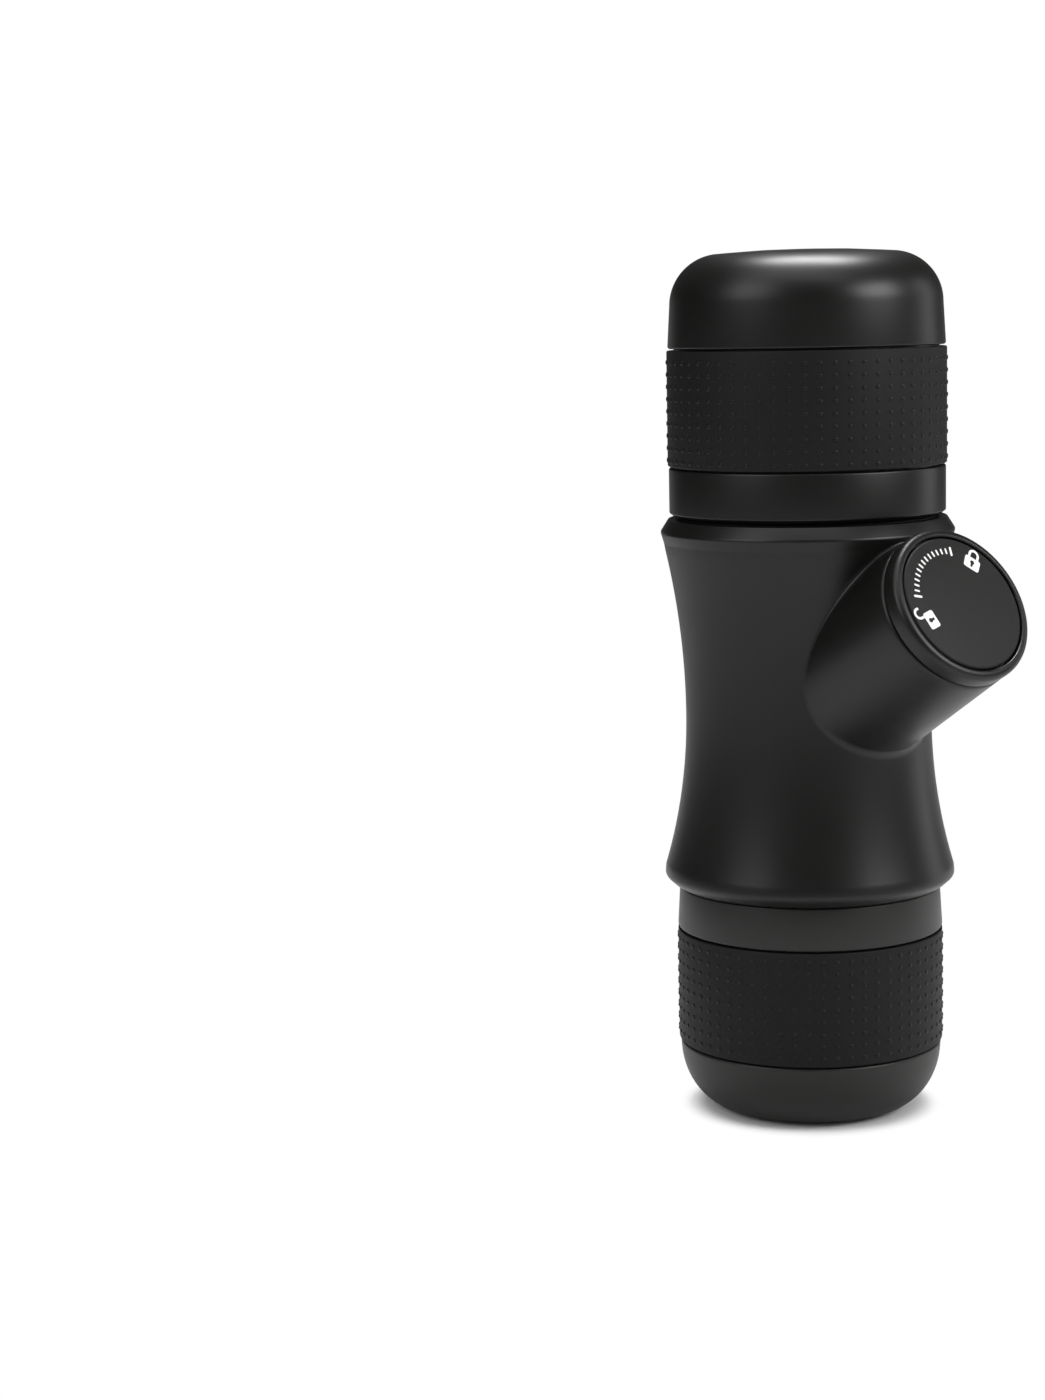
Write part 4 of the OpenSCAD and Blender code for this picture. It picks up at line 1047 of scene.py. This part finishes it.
# Lamps: degrees to the right of the photo's camera, degrees up, distance, size and watts
LAMPS = [
    ("right_softbox", 57, 28, 0.6, (0.32, 0.24), 1.8),
    ("left_softbox", -56, 31, 0.9, (0.5, 0.5), 2.1),
    ("top_softbox", 168, 73, 0.9, (0.44, 0.28), 9.2),
    ("overhead_softbox", -22, 68, 0.9, (1.1, 0.45), 2.1),
    ("side_softbox", 112, 10, 0.9, (0.3, 0.6), 0.8),
]
LAMPS_AIM = Vector((0, 0, 0.09))

# Room: plain level, then what gloss mirrors: front, side, and a low pale backdrop behind
ROOM_LEVEL = 0.4
ROOM_FRONT = 0.1
ROOM_SIDE = 0.035
ROOM_BACK = 0.35
ROOM_ROUND = (-0.6, 0.3)
ROOM_TURN = (-0.97, -0.78)
ROOM_RISE = (-0.02, 0.14)

FLOOR_R = 0.6
FLOOR_FADE = (0.0215, 0.028)
FLOOR_ROUGHNESS = 0.9
FLOOR_SEEN = (0.9, 0.9, 0.9, 1)
FLOOR_UNSEEN = (0.57, 0.57, 0.57, 1)


def make_camera():
    data = bpy.data.cameras.new("camera")
    data.lens = CAMERA_LENS
    data.sensor_width = 36
    data.clip_start = 0.01
    camera = bpy.data.objects.new("camera", data)
    bpy.context.scene.collection.objects.link(camera)
    bpy.context.scene.camera = camera
    level = -TOWARDS_CAMERA.normalized()
    forward = level * math.cos(CAMERA_DIP) - Vector((0, 0, math.sin(CAMERA_DIP)))
    turn = forward.to_track_quat("-Z", "Y").to_matrix() @ Matrix.Rotation(CAMERA_ROLL, 3, "Z")
    camera.matrix_world = Matrix.Translation(CAMERA_AT) @ turn.to_4x4()


def make_lamp(name, azimuth, elevation, distance, size, power):
    """Rectangular lamp that faces the object."""
    data = bpy.data.lights.new(name, "AREA")
    data.shape = "RECTANGLE"
    data.size, data.size_y = size
    data.energy = power
    lamp = bpy.data.objects.new(name, data)
    bpy.context.scene.collection.objects.link(lamp)
    around = Matrix.Rotation(math.radians(azimuth), 3, "Z") @ TOWARDS_CAMERA.normalized()
    e = math.radians(elevation)
    direction = around * math.cos(e) + Vector((0, 0, math.sin(e)))
    lamp.location = LAMPS_AIM + direction * distance
    lamp.rotation_euler = direction.to_track_quat("Z", "Y").to_euler()


def make_room():
    """White where the camera sees it, and a plain level elsewhere."""
    world = bpy.data.worlds.new("world")
    bpy.context.scene.world = world
    world.use_nodes = True
    t = Tree(world.node_tree)
    direction = t.add("ShaderNodeTexCoord").outputs["Generated"]
    facing = t.add("ShaderNodeVectorMath", {0: direction, 1: TOWARDS_CAMERA},
                   operation="DOT_PRODUCT").outputs["Value"]
    front = t.ramp(facing, *ROOM_ROUND, ROOM_SIDE, ROOM_FRONT, "SMOOTHSTEP")
    behind = t.ramp(facing, *ROOM_TURN, 1.0, 0.0, "SMOOTHSTEP")
    height = t.add("ShaderNodeSeparateXYZ", {0: direction}).outputs["Z"]
    low = t.ramp(height, *ROOM_RISE, 1.0, 0.0, "SMOOTHSTEP")
    mirrored = t.mix(t.math("MULTIPLY", behind, low), front, ROOM_BACK)
    path = t.add("ShaderNodeLightPath").outputs
    by_gloss = t.math("MAXIMUM", path["Is Glossy Ray"], path["Is Transmission Ray"])
    level = t.mix(path["Is Camera Ray"], t.mix(by_gloss, ROOM_LEVEL, mirrored), 1.0)
    sky = world.node_tree.nodes["Background"].inputs
    sky["Color"].default_value = (1, 1, 1, 1)
    t.feed(sky, {"Strength": level})


def make_floor():
    """Pale floor that stays under the cup, and turns white away from the object.

    Only its shadow close to the cup shows, and from below it doesn't hide the object.
    """
    rings = 48
    mesh = bpy.data.meshes.new("floor")
    mesh.from_pydata([upright(FLOOR_R, FULL_TURN * k / rings, 0) for k in range(rings)], [],
                     [list(range(rings))])
    floor = bpy.data.objects.new("floor", mesh)
    bpy.context.scene.collection.objects.link(floor)
    t, shader = new_material("floor_white", 0.1)
    mesh.materials.append(MATERIALS["floor_white"])
    shader.inputs["Roughness"].default_value = FLOOR_ROUGHNESS
    by_camera = t.add("ShaderNodeLightPath").outputs["Is Camera Ray"]
    reach = t.add("ShaderNodeVectorMath", {0: t.place()}, operation="LENGTH").outputs["Value"]
    white = t.math("MULTIPLY", t.ramp(reach, *FLOOR_FADE, kind="SMOOTHSTEP"), by_camera)
    glow = t.add("ShaderNodeEmission").outputs[0]
    surface = t.add("ShaderNodeMixShader", {0: white, 1: shader.outputs[0], 2: glow}).outputs[0]
    under = t.add("ShaderNodeNewGeometry").outputs["Backfacing"]
    clear = t.add("ShaderNodeBsdfTransparent").outputs[0]
    shown = t.add("ShaderNodeMixShader", {0: t.math("MULTIPLY", under, by_camera), 1: surface,
                                          2: clear}).outputs[0]
    t.feed(shader.inputs, {"Base Color": t.mix(by_camera, FLOOR_UNSEEN, FLOOR_SEEN, "RGBA")})
    t.feed(t.tree.nodes["Material Output"].inputs, {"Surface": shown})
    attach(floor, "cup")


# ------------------------------------------------------------------ making it all

make_camera()
make_materials()
bpy.context.scene.view_settings.view_transform = "Standard"
for lamp in LAMPS:
    make_lamp(*lamp)
make_room()
make_floor()
NUB_TREE = nub_rows()
THREAD_TREE = thread_rows()
body_shell()
water_tank()
cup()
for row in GRIPS:
    grip(*row)
piston_cap()
cap_insert()
cap_print()
for row in REFINED:
    refined(*row)
paint_shown_nodes()
